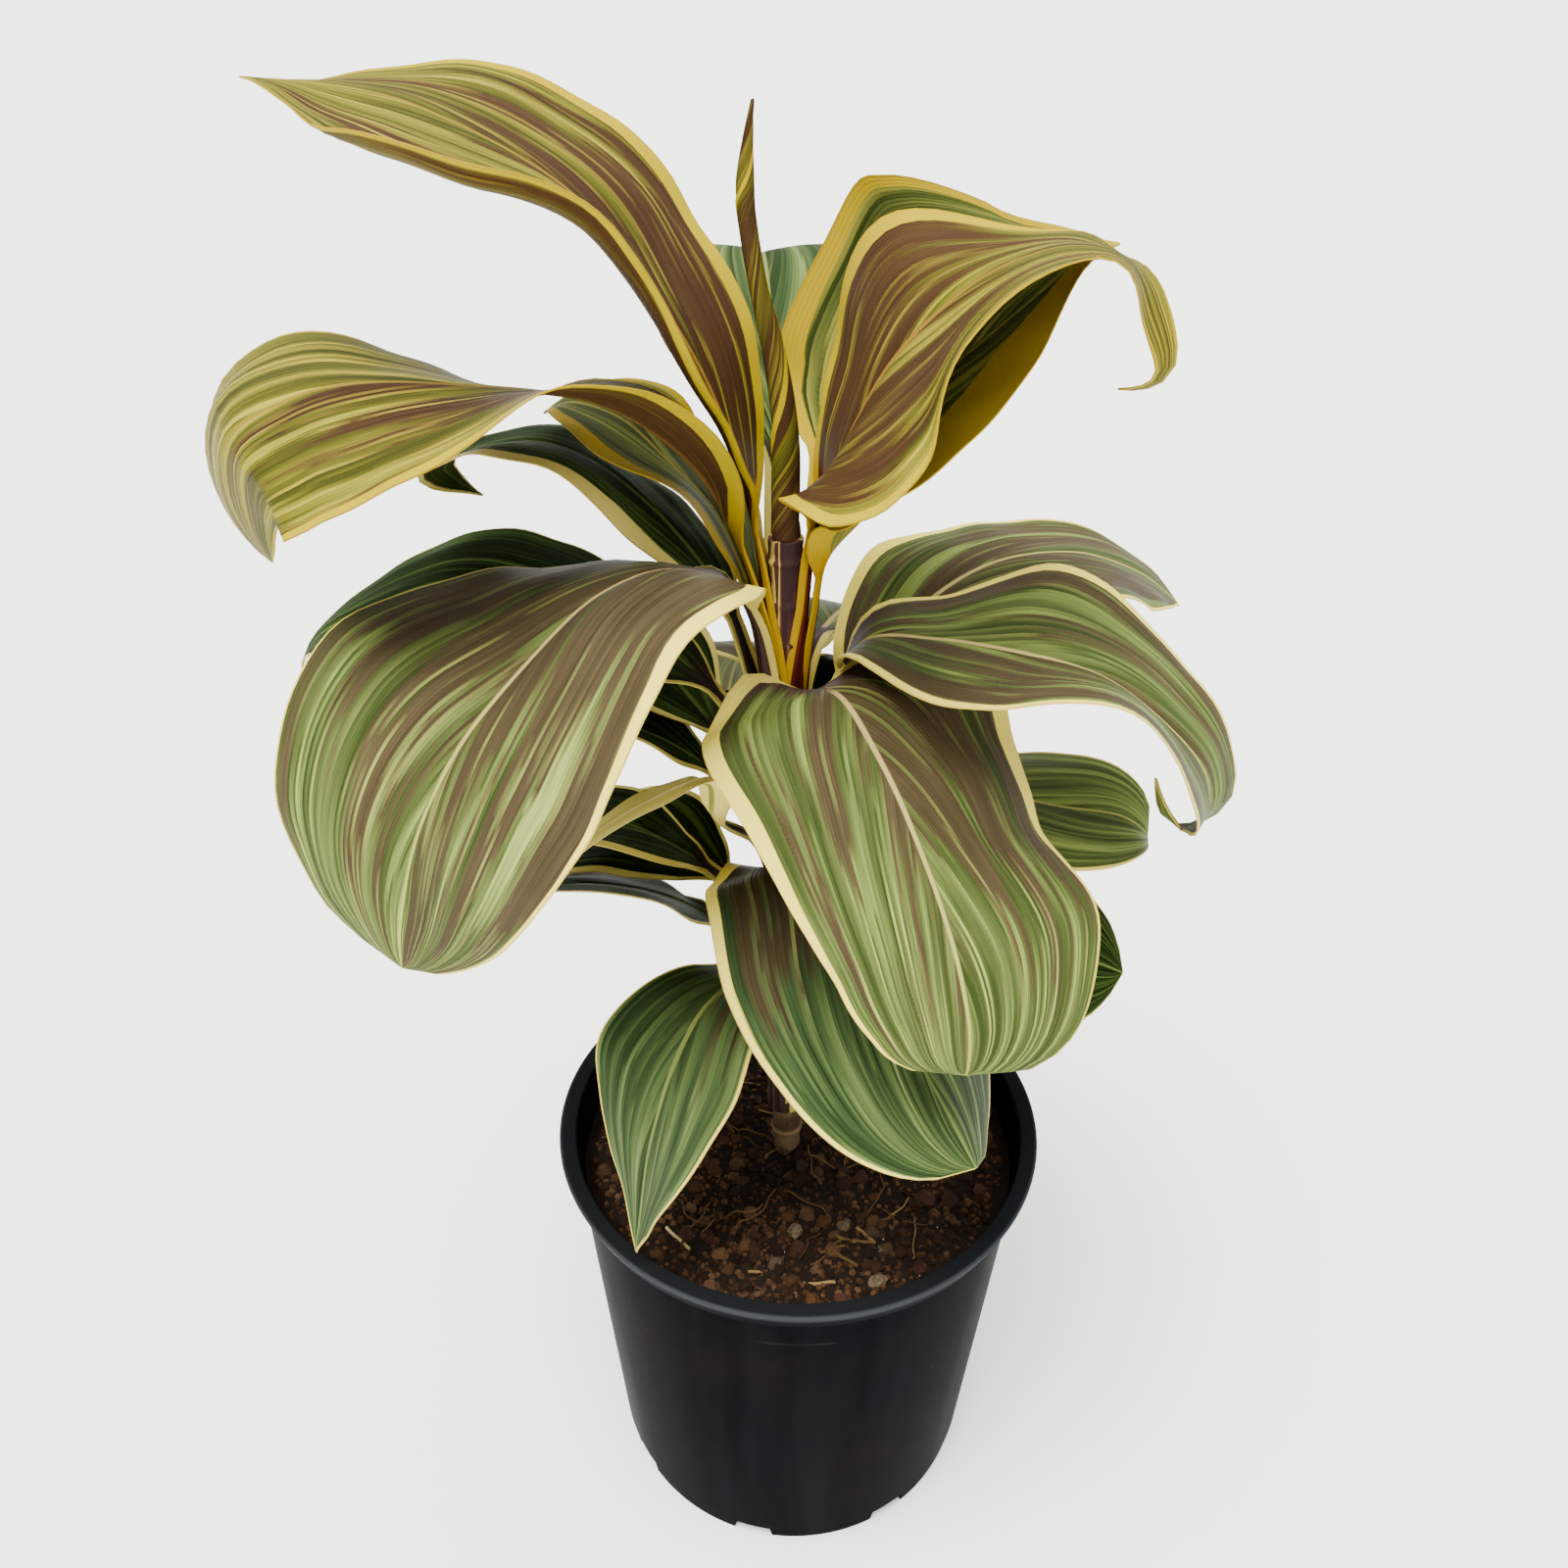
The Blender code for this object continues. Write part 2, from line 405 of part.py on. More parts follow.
def make_cane():
    """A leaning round stem whose surface swells a little at each ring scar."""
    bottom = SOIL_TOP - CANE_DEPTH_IN_SOIL
    top = CANE_HEAD[2]
    rings = [ring(CANE_WAIST, bottom, CANE_SEGMENTS, cane_at(bottom)[:2]),
             ring(CANE_WAIST, SOIL_TOP - 6, CANE_SEGMENTS, cane_at(SOIL_TOP - 6)[:2])]
    height = SOIL_TOP + 6
    while height < top - CANE_SCAR_SPACING / 2:
        for lift, radius in ((0.0, CANE_WAIST), (1.2, CANE_RADIUS), (2.6, CANE_WAIST)):
            rings.append(ring(radius, height + lift, CANE_SEGMENTS, cane_at(height + lift)[:2]))
        height += CANE_SCAR_SPACING
    rings.append(ring(CANE_WAIST - 0.4, top, CANE_SEGMENTS, cane_at(top)[:2]))
    return add_object("cane", *skin_rings(rings), BROWN_CANE, 0.8)


def smooth(knots, values, t):
    """A smooth curve through the values at the knots, read at t."""
    knots, values = np.asarray(knots, float), np.asarray(values, float)
    single = values.ndim == 1
    if single:
        values = values[:, None]
    slopes = np.gradient(values, knots, axis=0, edge_order=2)
    t = np.clip(np.asarray(t, float), knots[0], knots[-1])
    k = np.clip(np.searchsorted(knots, t, side="right") - 1, 0, len(knots) - 2)
    h = (knots[k + 1] - knots[k])[:, None]
    x = (t - knots[k])[:, None] / h
    read = ((2 * x**3 - 3 * x**2 + 1) * values[k] + (x**3 - 2 * x**2 + x) * h * slopes[k]
            + (3 * x**2 - 2 * x**3) * values[k + 1] + (x**3 - x**2) * h * slopes[k + 1])
    return read[:, 0] if single else read


def make_spear():
    """A tapering roll with a spiral seam, where the outer wrap stands over the inner one."""
    a = radians(SPEAR_AZIMUTH)
    knots = np.linspace(0, 1, len(SPEAR_PATH))
    along = np.linspace(0, 1, SPEAR_RINGS)
    path = smooth(knots, SPEAR_PATH, along)
    radius = smooth(knots, SPEAR_RADIUS, along)
    crown = cane_at(CANE_HEAD[2])
    rings = []
    for (out, height), size, t in zip(path, radius, along):
        centre = (crown[0] + out * cos(a), crown[1] + out * sin(a))
        seam = 2 * pi * SPEAR_TURNS * t
        loop = []
        for k in range(SPEAR_SEGMENTS):
            turn = 2 * pi * k / SPEAR_SEGMENTS
            wrap = 1 - SPEAR_SEAM_STEP * k / SPEAR_SEGMENTS
            x = centre[0] + size * wrap * cos(turn + seam)
            y = centre[1] + size * wrap * sin(turn + seam)
            loop.append((x, y, height))
        rings.append(loop)
    return add_object("spear", *skin_rings(rings), YOUNG_LEAF, 0.5)


def blade_half_width(leaf, b):
    """Half the width at b along the blade, which is 0 where the stalk ends and 1 at the tip."""
    widest = leaf.get("widest", 0.42)
    rise = np.sin(pi / 2 * np.clip(b / widest, 0, 1)) ** leaf.get("base", 0.85)
    t = np.clip((b - widest) / (1 - widest), 0, 1)
    fall = (1 - t**2.1) ** leaf.get("point", 1.0)
    near = np.hypot(leaf["width"] / 2 * rise, STALK_WIDTH / 2 * (1 - b))
    far = np.hypot(leaf["width"] / 2 * fall, leaf.get("tail", 0.0) / 2 * t * np.sqrt(1 - t**6))
    return np.maximum(np.where(b < widest, near, far), TIP_HALF_WIDTH)


def leaf_surface(leaf):
    """The leaf's middle surface: points from the cane to the tip, and from its right margin to its left."""
    rows, columns = leaf["cells"]
    a = radians(leaf["azimuth"])
    outward, leftward = np.array([cos(a), sin(a), 0.0]), np.array([-sin(a), cos(a), 0.0])
    root = cane_at(leaf["rib"][0][1]) * (1, 1, 0)
    rib = np.array([root + out * outward + (0, 0, height) for out, height in leaf["rib"]])
    chord = np.concatenate([[0], np.cumsum(np.linalg.norm(np.diff(rib, axis=0), axis=1) ** 0.75)])
    knots = chord / chord[-1]
    fine = np.linspace(0, 1, 400)
    path = smooth(knots, rib, fine)
    run = np.concatenate([[0], np.cumsum(np.linalg.norm(np.diff(path, axis=0), axis=1))])
    s = np.linspace(0, 1, rows + 1) * run[-1]
    t = np.interp(s, run, fine)
    centre = smooth(knots, rib, t)
    ahead = smooth(knots, rib, np.minimum(t + 1e-3, 1)) - smooth(knots, rib, np.maximum(t - 1e-3, 0))
    ahead /= np.linalg.norm(ahead, axis=1)[:, None]
    side = leftward - (ahead @ leftward)[:, None] * ahead
    side /= np.linalg.norm(side, axis=1)[:, None]
    up = np.cross(ahead, side)

    def along(key, default):
        return smooth(knots, np.broadcast_to(np.asarray(leaf.get(key, default), float), knots.shape), t)

    def turned(key, which, default):
        own = key + which
        return np.radians(along(own, default) if own in leaf else along(key, default))

    stalk = leaf["stalk"]
    b = np.clip((s - stalk) / (run[-1] - stalk), 0, 1)
    opened = np.clip(b / 0.12, 0, 1)
    opened = opened**2 * (3 - 2 * opened)
    roll = np.radians(along("roll", 0.0)) * opened
    side, up = (np.cos(roll)[:, None] * side + np.sin(roll)[:, None] * up,
                np.cos(roll)[:, None] * up - np.sin(roll)[:, None] * side)
    half = np.where(b <= 0, STALK_WIDTH / 2, blade_half_width(leaf, b))
    axis = np.array([cane_at(z) for z in centre[:, 2]])
    reach = np.hypot(*(centre - axis)[:, :2].T)
    clasp = np.minimum(half / reach, 1.0)            # on the stalk the section wraps round the cane
    steps = np.linspace(0, 1, 41)
    points = np.zeros((rows + 1, columns + 1, 3))
    for sign, which in ((-1, "_right"), (1, "_left")):
        fold = turned("fold", which, 10.0) * opened + radians(3) * (1 - opened)
        curl = turned("curl", which, 0.0) * opened + clasp * (1 - opened)
        edge = turned("edge", which, 0.0) * opened
        reach_out = half * (1 + (along("share" + which, 1.0) - 1) * opened)
        angle = fold[:, None] + curl[:, None] * steps + edge[:, None] * steps**4
        middle = (angle[:, 1:] + angle[:, :-1]) / 2
        start = np.zeros((rows + 1, 1))
        across = np.hstack([start, np.cumsum(np.cos(middle), axis=1)]) / 40 * reach_out[:, None]
        lift = np.hstack([start, np.cumsum(np.sin(middle), axis=1)]) / 40 * reach_out[:, None]
        for j in range(columns + 1):
            q = 2 * j / columns - 1
            if q * sign < 0 or (q == 0 and sign < 0):
                continue
            x = np.array([np.interp(abs(q), steps, row) for row in across])
            y = np.array([np.interp(abs(q), steps, row) for row in lift])
            points[:, j] = centre + sign * x[:, None] * side + y[:, None] * up
    return points, opened


def surface_normals(points):
    """The upward normal at each point of a grid."""
    down_length = np.gradient(points, axis=0)
    across = np.gradient(points, axis=1)
    normals = np.cross(down_length, across)
    return normals / np.maximum(np.linalg.norm(normals, axis=2), 1e-9)[:, :, None]


def make_leaf(name, leaf):
    """A closed sheet with both faces split into triangles alike, thicker along its stalk."""
    points, opened = leaf_surface(leaf)
    normals = surface_normals(points)
    thickness = STALK_THICKNESS + (BLADE_THICKNESS - STALK_THICKNESS) * opened
    offset = normals * (thickness / 2)[:, None, None]
    rows, columns = points.shape[:2]
    both = np.concatenate([(points + offset).reshape(-1, 3), (points - offset).reshape(-1, 3)])
    under = rows * columns
    faces = []
    for i in range(rows - 1):
        for j in range(columns - 1):
            a, b = i * columns + j, i * columns + j + 1
            d, c = a + columns, b + columns
            if j < (columns - 1) / 2:
                split = ((a, b, c), (a, c, d))
            else:
                split = ((a, b, d), (b, c, d))
            for face in split:
                faces.append(face)
                faces.append(tuple(under + k for k in reversed(face)))
    border = ([(0, j) for j in range(columns)] + [(i, columns - 1) for i in range(1, rows)]
              + [(rows - 1, j) for j in range(columns - 2, -1, -1)] + [(i, 0) for i in range(rows - 2, 0, -1)])
    loop = [i * columns + j for i, j in border]
    for a, b in zip(loop, loop[1:] + loop[:1]):
        faces.append((a, b, under + b))
        faces.append((a, under + b, under + a))
    start = leaf["rib"][0][1]
    colour = YOUNG_LEAF if start > YOUNG_FROM else MIDDLE_LEAF if start > MIDDLE_FROM else OLD_LEAF
    return add_object(name, both, faces, colour, 0.45, smooth_angle=60.0)


clear_scene()
make_pot()
make_soil()
make_cane()
make_spear()
for leaf_name, leaf_sizes in LEAVES.items():
    make_leaf(leaf_name, leaf_sizes)
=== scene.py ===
# The looks of a ti plant in its nursery pot, over the fixed frame of the plant's solids.
# +Z is up, and -Y is the plant's front. Sizes are in millimetres and turn into metres where a mesh is made.
# Those that a Geometry Nodes tree or a bump reads are in metres.

import json
from math import cos, pi, radians, sin

import bmesh
import bpy
import numpy as np
from mathutils import Matrix, Vector, noise

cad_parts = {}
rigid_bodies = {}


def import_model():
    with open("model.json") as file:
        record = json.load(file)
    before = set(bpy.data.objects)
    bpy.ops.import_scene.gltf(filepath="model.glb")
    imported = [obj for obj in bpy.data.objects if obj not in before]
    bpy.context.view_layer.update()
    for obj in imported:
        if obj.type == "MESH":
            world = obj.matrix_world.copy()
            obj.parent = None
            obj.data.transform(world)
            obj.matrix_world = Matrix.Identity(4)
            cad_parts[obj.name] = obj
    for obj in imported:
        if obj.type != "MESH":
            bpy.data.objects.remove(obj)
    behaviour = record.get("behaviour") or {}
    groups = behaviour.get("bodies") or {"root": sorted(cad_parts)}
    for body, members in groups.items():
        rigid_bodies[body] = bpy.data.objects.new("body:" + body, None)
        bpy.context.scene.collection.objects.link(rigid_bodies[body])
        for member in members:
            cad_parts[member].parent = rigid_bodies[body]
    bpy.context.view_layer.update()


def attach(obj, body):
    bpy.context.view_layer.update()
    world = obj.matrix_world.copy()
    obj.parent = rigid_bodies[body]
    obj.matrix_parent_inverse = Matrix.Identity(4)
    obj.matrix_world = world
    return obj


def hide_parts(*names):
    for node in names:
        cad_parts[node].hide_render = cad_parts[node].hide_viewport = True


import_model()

for thing in list(bpy.data.objects):
    if thing.type in ("CAMERA", "LIGHT"):
        bpy.data.objects.remove(thing)


# Nursery pot
# A thin tapered pot moulded in one shot of black polypropylene. A rim band stands out from the wall under a
# flat lip, the foot steps in a little, and eight drain notches are cut through the foot.

MM = 0.001
pot_height = 190.0
pot_foot_radius = 84.0
pot_body_radius = 98.0
pot_wall = 1.8
pot_floor = 2.4
pot_floor_corner = 2.0
pot_sides = 160
foot_step_height = 9.0
foot_step_depth = 0.8
rim_radius = 105.0
rim_band_height = 10.0
rim_band_foot_radius = 101.3
rim_band_foot_edge = 0.6
rim_lip_width = 7.0
rim_lip_edge = 0.8
rim_flare_height = 8.0
corner_radius = 0.7
drain_notches = 8
drain_notch_turn = 13.5
drain_first_azimuth = 257.5
drain_notch_height = 6.0
drain_notch_top_share = 0.82
notch_cutter_foot = -5.0
notch_cutter_radii = (70.0, 92.0)


def place(name, points, faces, smooth_angle=35.0):
    """A mesh object of points in millimetres, its faces pointing out, smooth except over its sharp edges."""
    mesh = bpy.data.meshes.new(name)
    mesh.from_pydata([tuple(float(x) * MM for x in p) for p in points], [], faces)
    shell = bmesh.new()
    shell.from_mesh(mesh)
    bmesh.ops.recalc_face_normals(shell, faces=shell.faces)
    shell.to_mesh(mesh)
    shell.free()
    mesh.shade_smooth()
    mesh.set_sharp_from_angle(angle=radians(smooth_angle))
    thing = bpy.data.objects.new(name, mesh)
    bpy.context.scene.collection.objects.link(thing)
    return thing


def level_ring(radius, height, sides):
    """The points of a level circle round the pot's axis."""
    turns = [2 * pi * k / sides for k in range(sides)]
    return [(radius * cos(turn), radius * sin(turn), height) for turn in turns]


def skin(rings):
    """Faces between successive closed rings of equal count, with a cap on the first and the last ring."""
    count = len(rings[0])
    faces = [(i + j, i + (j + 1) % count, i + count + (j + 1) % count, i + count + j)
             for i in range(0, (len(rings) - 1) * count, count) for j in range(count)]
    faces.append(tuple(range(count)))
    faces.append(tuple(range((len(rings) - 1) * count, len(rings) * count)))
    return [p for ring in rings for p in ring], faces


def rounded(profile, radius):
    """The profile with each inner corner replaced by a short curve, no longer than a third of its sides."""
    line = [Vector(p) for p in profile]
    made = [line[0]]
    for before, corner, after in zip(line, line[1:], line[2:]):
        reach = min(radius, (before - corner).length / 3, (after - corner).length / 3)
        start = corner + (before - corner).normalized() * reach
        end = corner + (after - corner).normalized() * reach
        made += [start.lerp(corner, t).lerp(corner.lerp(end, t), t) for t in (0, 0.25, 0.5, 0.75, 1)]
    return made + [line[-1]]


def wall_radius(height):
    """The outer radius of the pot's wall at a height."""
    return pot_foot_radius + (pot_body_radius - pot_foot_radius) * height / (pot_height - rim_band_height)


def finished(thing):
    """The object with its modifiers worked into its mesh."""
    result = bpy.data.meshes.new_from_object(thing.evaluated_get(bpy.context.evaluated_depsgraph_get()))
    thing.modifiers.clear()
    thing.data = result
    return thing


def linear(text):
    """The linear RGBA colour of an sRGB hex value."""
    srgb = [int(text[i:i + 2], 16) / 255 for i in (1, 3, 5)]
    return (*(c / 12.92 if c <= 0.04045 else ((c + 0.055) / 1.055) ** 2.4 for c in srgb), 1.0)


def wire(tree, node, sockets):
    """Links or sets a node's input sockets. A node given for one stands for its first output in use, and a
    hex value for its colour."""
    for key, value in sockets.items():
        if isinstance(value, bpy.types.Node):
            value = next(socket for socket in value.outputs if socket.enabled)
        if isinstance(value, bpy.types.NodeSocket):
            tree.links.new(value, node.inputs[key])
        else:
            node.inputs[key].default_value = linear(value) if str(value).startswith("#") else value


def add(tree, kind, sockets=None, stops=(), **settings):
    """Adds a node, and sets its properties, its ramp's stops and its input sockets."""
    made = tree.nodes.new(kind)
    for key, value in settings.items():
        setattr(made, key, value)
    if stops:
        ramp = made.color_ramp
        while len(ramp.elements) < len(stops):
            ramp.elements.new(0.5)
        for element, (position, colour) in zip(ramp.elements, stops):
            element.position = position
            element.color = linear(colour)
    wire(tree, made, sockets or {})
    return made


def object_place(tree):
    """Where a point of the object is, in millimetres."""
    metres = add(tree, "ShaderNodeTexCoord").outputs["Object"]
    return add(tree, "ShaderNodeVectorMath", {0: metres, "Scale": 1 / MM}, operation="SCALE")


def mottle(tree, place_of, sizes, detail, roughness=0.5, shift=(0.0, 0.0, 0.0), turn=(0.0, 0.0, 0.0)):
    """Soft patches of the given size, or of its own along each axis of the place."""
    scale = tuple(1 / np.broadcast_to(sizes, 3))
    mapped = add(tree, "ShaderNodeMapping", {
        "Vector": place_of, "Location": shift, "Rotation": turn, "Scale": scale})
    return add(tree, "ShaderNodeTexNoise", {
        "Vector": mapped, "Scale": 1.0, "Detail": detail, "Roughness": roughness})


def coat(tree, ground, colour, where, none_at, full_at, fullest=1.0, mode="MIX"):
    """A colour laid over a ground, from none to its fullest as a value goes from one limit to the other."""
    share = add(tree, "ShaderNodeMapRange", {
        "Value": where, "From Min": none_at, "From Max": full_at, "To Max": fullest})
    return add(tree, "ShaderNodeMix", {0: share, 6: ground, 7: colour}, data_type="RGBA", blend_type=mode)


def blank_material(name):
    """A new material, its node tree and its Principled shader."""
    made = bpy.data.materials.new(name)
    made.use_nodes = True
    return made, made.node_tree, made.node_tree.nodes["Principled BSDF"]


lip_inner_radius = rim_radius - rim_lip_width
under_band = pot_height - rim_band_height
under_flare = under_band - rim_flare_height
pot_profile = rounded([
    (0.0, 0.0),
    (pot_foot_radius - foot_step_depth, 0.0),
    (wall_radius(foot_step_height) - foot_step_depth, foot_step_height - foot_step_depth),
    (wall_radius(foot_step_height), foot_step_height),
    (wall_radius(under_flare), under_flare),
    (pot_body_radius, under_band),
    (rim_band_foot_radius, under_band),
    (rim_band_foot_radius + rim_band_foot_edge, under_band + 2 * rim_band_foot_edge),
    (rim_radius, pot_height - rim_lip_edge),
    (rim_radius - rim_lip_edge, pot_height),
    (lip_inner_radius, pot_height),
    (lip_inner_radius - rim_lip_edge, pot_height - 2 * rim_lip_edge),
    (wall_radius(under_flare) - pot_wall, under_flare),
    (wall_radius(foot_step_height) - pot_wall, foot_step_height),
    (pot_foot_radius - pot_wall - pot_floor_corner, pot_floor),
    (0.0, pot_floor),
], corner_radius)[1:-1]
pot = place("nursery_pot", *skin([level_ring(r, z, pot_sides) for r, z in pot_profile]))

# Each drain notch is cut by a wedge that narrows upwards
wedge_points, wedge_faces = [], []
near, far = notch_cutter_radii
for k in range(drain_notches):
    middle = radians(drain_first_azimuth + 360 / drain_notches * k)
    half_turn = radians(drain_notch_turn) / 2
    first = len(wedge_points)
    for z, flank in ((notch_cutter_foot, 1.0), (drain_notch_height, drain_notch_top_share)):
        for r, a in ((near, -half_turn), (far, -half_turn), (far, half_turn), (near, half_turn)):
            wedge_points.append((r * cos(middle + a * flank), r * sin(middle + a * flank), z))
    wedge_faces += [tuple(first + i for i in side) for side in
                    ((3, 2, 1, 0), (4, 5, 6, 7), (0, 1, 5, 4), (1, 2, 6, 5), (2, 3, 7, 6), (3, 0, 4, 7))]
notch_cutter = place("notch_cutter", wedge_points, wedge_faces)
cut = pot.modifiers.new("drain notches", "BOOLEAN")
cut.operation = "DIFFERENCE"
cut.solver = "EXACT"
cut.object = notch_cutter
finished(pot)
bpy.data.objects.remove(notch_cutter)
pot.data.shade_smooth()
pot.data.set_sharp_from_angle(angle=radians(35))

# Black polypropylene, moulded: near black and satin. The mould's polish leaves very shallow upright streaks
# 22 mm apart and a grain of 1 mm, handling leaves faint scuffs, and watering leaves brown dust in patches.
# The lip's flat top and a thin ring at the rim's outer edge are painted lighter, as painted highlights.
plastic, tree, shader = blank_material("Black polypropylene, moulded")
place_of = object_place(tree)
height_of = add(tree, "ShaderNodeSeparateXYZ", {0: place_of}).outputs["Z"]
plan = add(tree, "ShaderNodeMapping", {"Vector": place_of, "Scale": (1.0, 1.0, 0.0)})
out_from_middle = add(tree, "ShaderNodeVectorMath", {0: plan}, operation="LENGTH")
streaks = mottle(tree, place_of, (22.22, 22.22, 370.4), 4.0)
clouds = mottle(tree, place_of, 71.43, 5.0, 0.62)
scuffs = mottle(tree, place_of, (166.7, 6.25, 6.25), 2.0, turn=(0.5, 0.4, 0.9))
grain = mottle(tree, place_of, 1.111, 2.0)
wall = coat(tree, "#040506", "#0f1012", streaks, 0.4, 0.68)
# Painted highlight: the lip's flat top is paler near the pot's full height, where it catches the light
painted_lip_highlight = coat(tree, wall, "#151718", height_of, pot_height - 1.5, pot_height)
# Painted highlight: a lighter ring along the rim's outer edge, where it catches the light
edge = coat(tree, painted_lip_highlight, "#34373a", out_from_middle, rim_radius - 1.6, rim_radius - 0.4, 0.8)
dusty = coat(tree, edge, "#17110d", clouds, 0.5, 0.8, 0.5)
scuffed = coat(tree, dusty, "#1d1c1b", scuffs, 0.72, 0.78)
gloss = add(tree, "ShaderNodeMapRange", {
    "Value": streaks, "From Min": 0.3, "From Max": 0.7, "To Min": 0.34, "To Max": 0.46})
relief = add(tree, "ShaderNodeMix", {0: 0.25, 2: streaks, 3: grain})
bump = add(tree, "ShaderNodeBump", {"Strength": 0.2, "Distance": 0.0004, "Height": relief})
wire(tree, shader, {"Base Color": scuffed, "Roughness": gloss, "Normal": bump, "IOR": 1.49,
                    "Specular IOR Level": 0.003})

pot.data.materials.clear()
pot.data.materials.append(plastic)
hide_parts("pot")
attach(pot, "root")


# Potting soil
# Loose dark mix of composted bark, sand and fine gravel, filled to 18 mm under the rim. Crumbs, bark chips
# and small stones lie on it, with dry rootlets and straw between them.

soil_top = 172.0
soil_bottom = 8.0
soil_bottom_bevel = 3.0
soil_clearance = 0.7
soil_foot_clearance = 1.3
soil_sink_at_wall = 1.5
soil_rise_at_cane = 1.2
soil_rise_reach = 22.0
soil_pole_radius = 0.5
soil_ring_count, soil_sides = 64, 200
# The soil's lumps: how far across, how high, and the layer of the noise that each size is taken from
soil_swells = ((19.0, 2.2, 3.1), (7.0, 1.3, 8.4), (2.6, 0.7, 1.7))
cane_foot = (-5.0, 0.0)
soil_radius = wall_radius(soil_top) - pot_wall - soil_clearance


def soil_height(x, y):
    """The level of the soil: lumps of three sizes, a rise round the cane, and a fall by the wall."""
    lumps = sum(height * noise.noise(Vector((x / across, y / across, layer)))
                for across, height, layer in soil_swells)
    near_cane = soil_rise_at_cane * max(0.0, 1 - np.hypot(x - cane_foot[0], y) / soil_rise_reach)
    return soil_top + lumps + near_cane - soil_sink_at_wall * (np.hypot(x, y) / soil_radius) ** 6


soil_rings = []
for i in range(soil_ring_count + 1):
    out = soil_pole_radius + (soil_radius - soil_pole_radius) * i / soil_ring_count
    soil_rings.append([(x, y, soil_height(x, y)) for x, y, _ in level_ring(out, 0.0, soil_sides)])
foot_radius = wall_radius(foot_step_height) - pot_wall - soil_foot_clearance
soil_rings.append(level_ring(foot_radius, soil_bottom + soil_bottom_bevel, soil_sides))
soil_rings.append(level_ring(foot_radius - soil_bottom_bevel, soil_bottom, soil_sides))
soil = place("soil_bed", *skin(soil_rings), smooth_angle=60.0)


def set_inputs(modifier, values):
    """Sets a modifier's named inputs through their sockets' identifiers."""
    for socket in modifier.node_group.interface.items_tree:
        if socket.item_type == "SOCKET" and socket.in_out == "INPUT" and socket.name in values:
            modifier[socket.identifier] = values[socket.name]


def blank_tree(name, inputs):
    """A Geometry Nodes tree with a geometry input and output and the named inputs."""
    made = bpy.data.node_groups.new(name, "GeometryNodeTree")
    made.interface.new_socket("Geometry", in_out="INPUT", socket_type="NodeSocketGeometry")
    for label, kind in inputs:
        made.interface.new_socket(label, in_out="INPUT", socket_type="NodeSocket" + kind)
    made.interface.new_socket("Geometry", in_out="OUTPUT", socket_type="NodeSocketGeometry")
    return made, made.nodes.new("NodeGroupInput").outputs, made.nodes.new("NodeGroupOutput")


def strew(tree, given, thing, turns, size, shade_seed, warp_scale, warp_middle, warp_reach):
    """Lays turned copies of a thing on the given surface, each with a shade of its own, then makes them real
    and moves their points by a noise."""
    spots = add(tree, "GeometryNodeDistributePointsOnFaces", {
        "Mesh": given["Geometry"], "Density": given["Density"], "Seed": given["Seed"]})
    turn = add(tree, "FunctionNodeRandomValue", {0: turns[0], 1: turns[1], "Seed": given["Seed"]},
               data_type="FLOAT_VECTOR")
    laid = add(tree, "GeometryNodeInstanceOnPoints", {
        "Points": spots, "Instance": thing, "Rotation": turn, "Scale": size})
    shade = add(tree, "FunctionNodeRandomValue", {2: 0.0, 3: 1.0, "Seed": shade_seed})
    shaded = add(tree, "GeometryNodeStoreNamedAttribute", {"Geometry": laid, "Name": "shade", "Value": shade},
                 domain="INSTANCE")
    real = add(tree, "GeometryNodeRealizeInstances", {"Geometry": shaded})
    spot = add(tree, "GeometryNodeInputPosition")
    warp = add(tree, "ShaderNodeTexNoise", {"Vector": spot, "Scale": warp_scale, "Detail": 1.0})
    centred = add(tree, "ShaderNodeVectorMath", {0: warp.outputs["Color"], 1: warp_middle},
                  operation="SUBTRACT")
    reach = add(tree, "ShaderNodeVectorMath", {0: centred, "Scale": warp_reach}, operation="SCALE")
    return add(tree, "GeometryNodeSetPosition", {"Geometry": real, "Offset": reach})


# Lumps lying on a surface: each a ball of few facets, stretched, turned and dented by its own place
lump_inputs = (("Density", "Float"), ("Smallest", "Float"), ("Largest", "Float"), ("Flatness", "Float"),
               ("Dent", "Float"), ("Facets", "Int"), ("Seed", "Int"), ("Material", "Material"))
lump_tree, given, out_node = blank_tree("loose lumps", lump_inputs)
lump = add(lump_tree, "GeometryNodeMeshIcoSphere", {"Radius": 0.5, "Subdivisions": given["Facets"]})
long = add(lump_tree, "FunctionNodeRandomValue", {
    2: given["Smallest"], 3: given["Largest"], "Seed": given["Seed"]})
slimness = add(lump_tree, "FunctionNodeRandomValue", {2: 0.55, 3: 1.0, "Seed": given["Seed"]})
narrow = add(lump_tree, "ShaderNodeMath", {0: long, 1: slimness}, operation="MULTIPLY")
low = add(lump_tree, "ShaderNodeMath", {0: long, 1: given["Flatness"]}, operation="MULTIPLY")
size = add(lump_tree, "ShaderNodeCombineXYZ", {0: long, 1: narrow, 2: low})
dented = strew(lump_tree, given, lump, ((0.0, 0.0, 0.0), (0.5, 0.5, 6.28)), size, shade_seed=77,
               warp_scale=420.0, warp_middle=(0.5, 0.5, 0.5), warp_reach=given["Dent"])
painted = add(lump_tree, "GeometryNodeSetMaterial", {"Geometry": dented, "Material": given["Material"]})
wire(lump_tree, out_node, {0: painted})

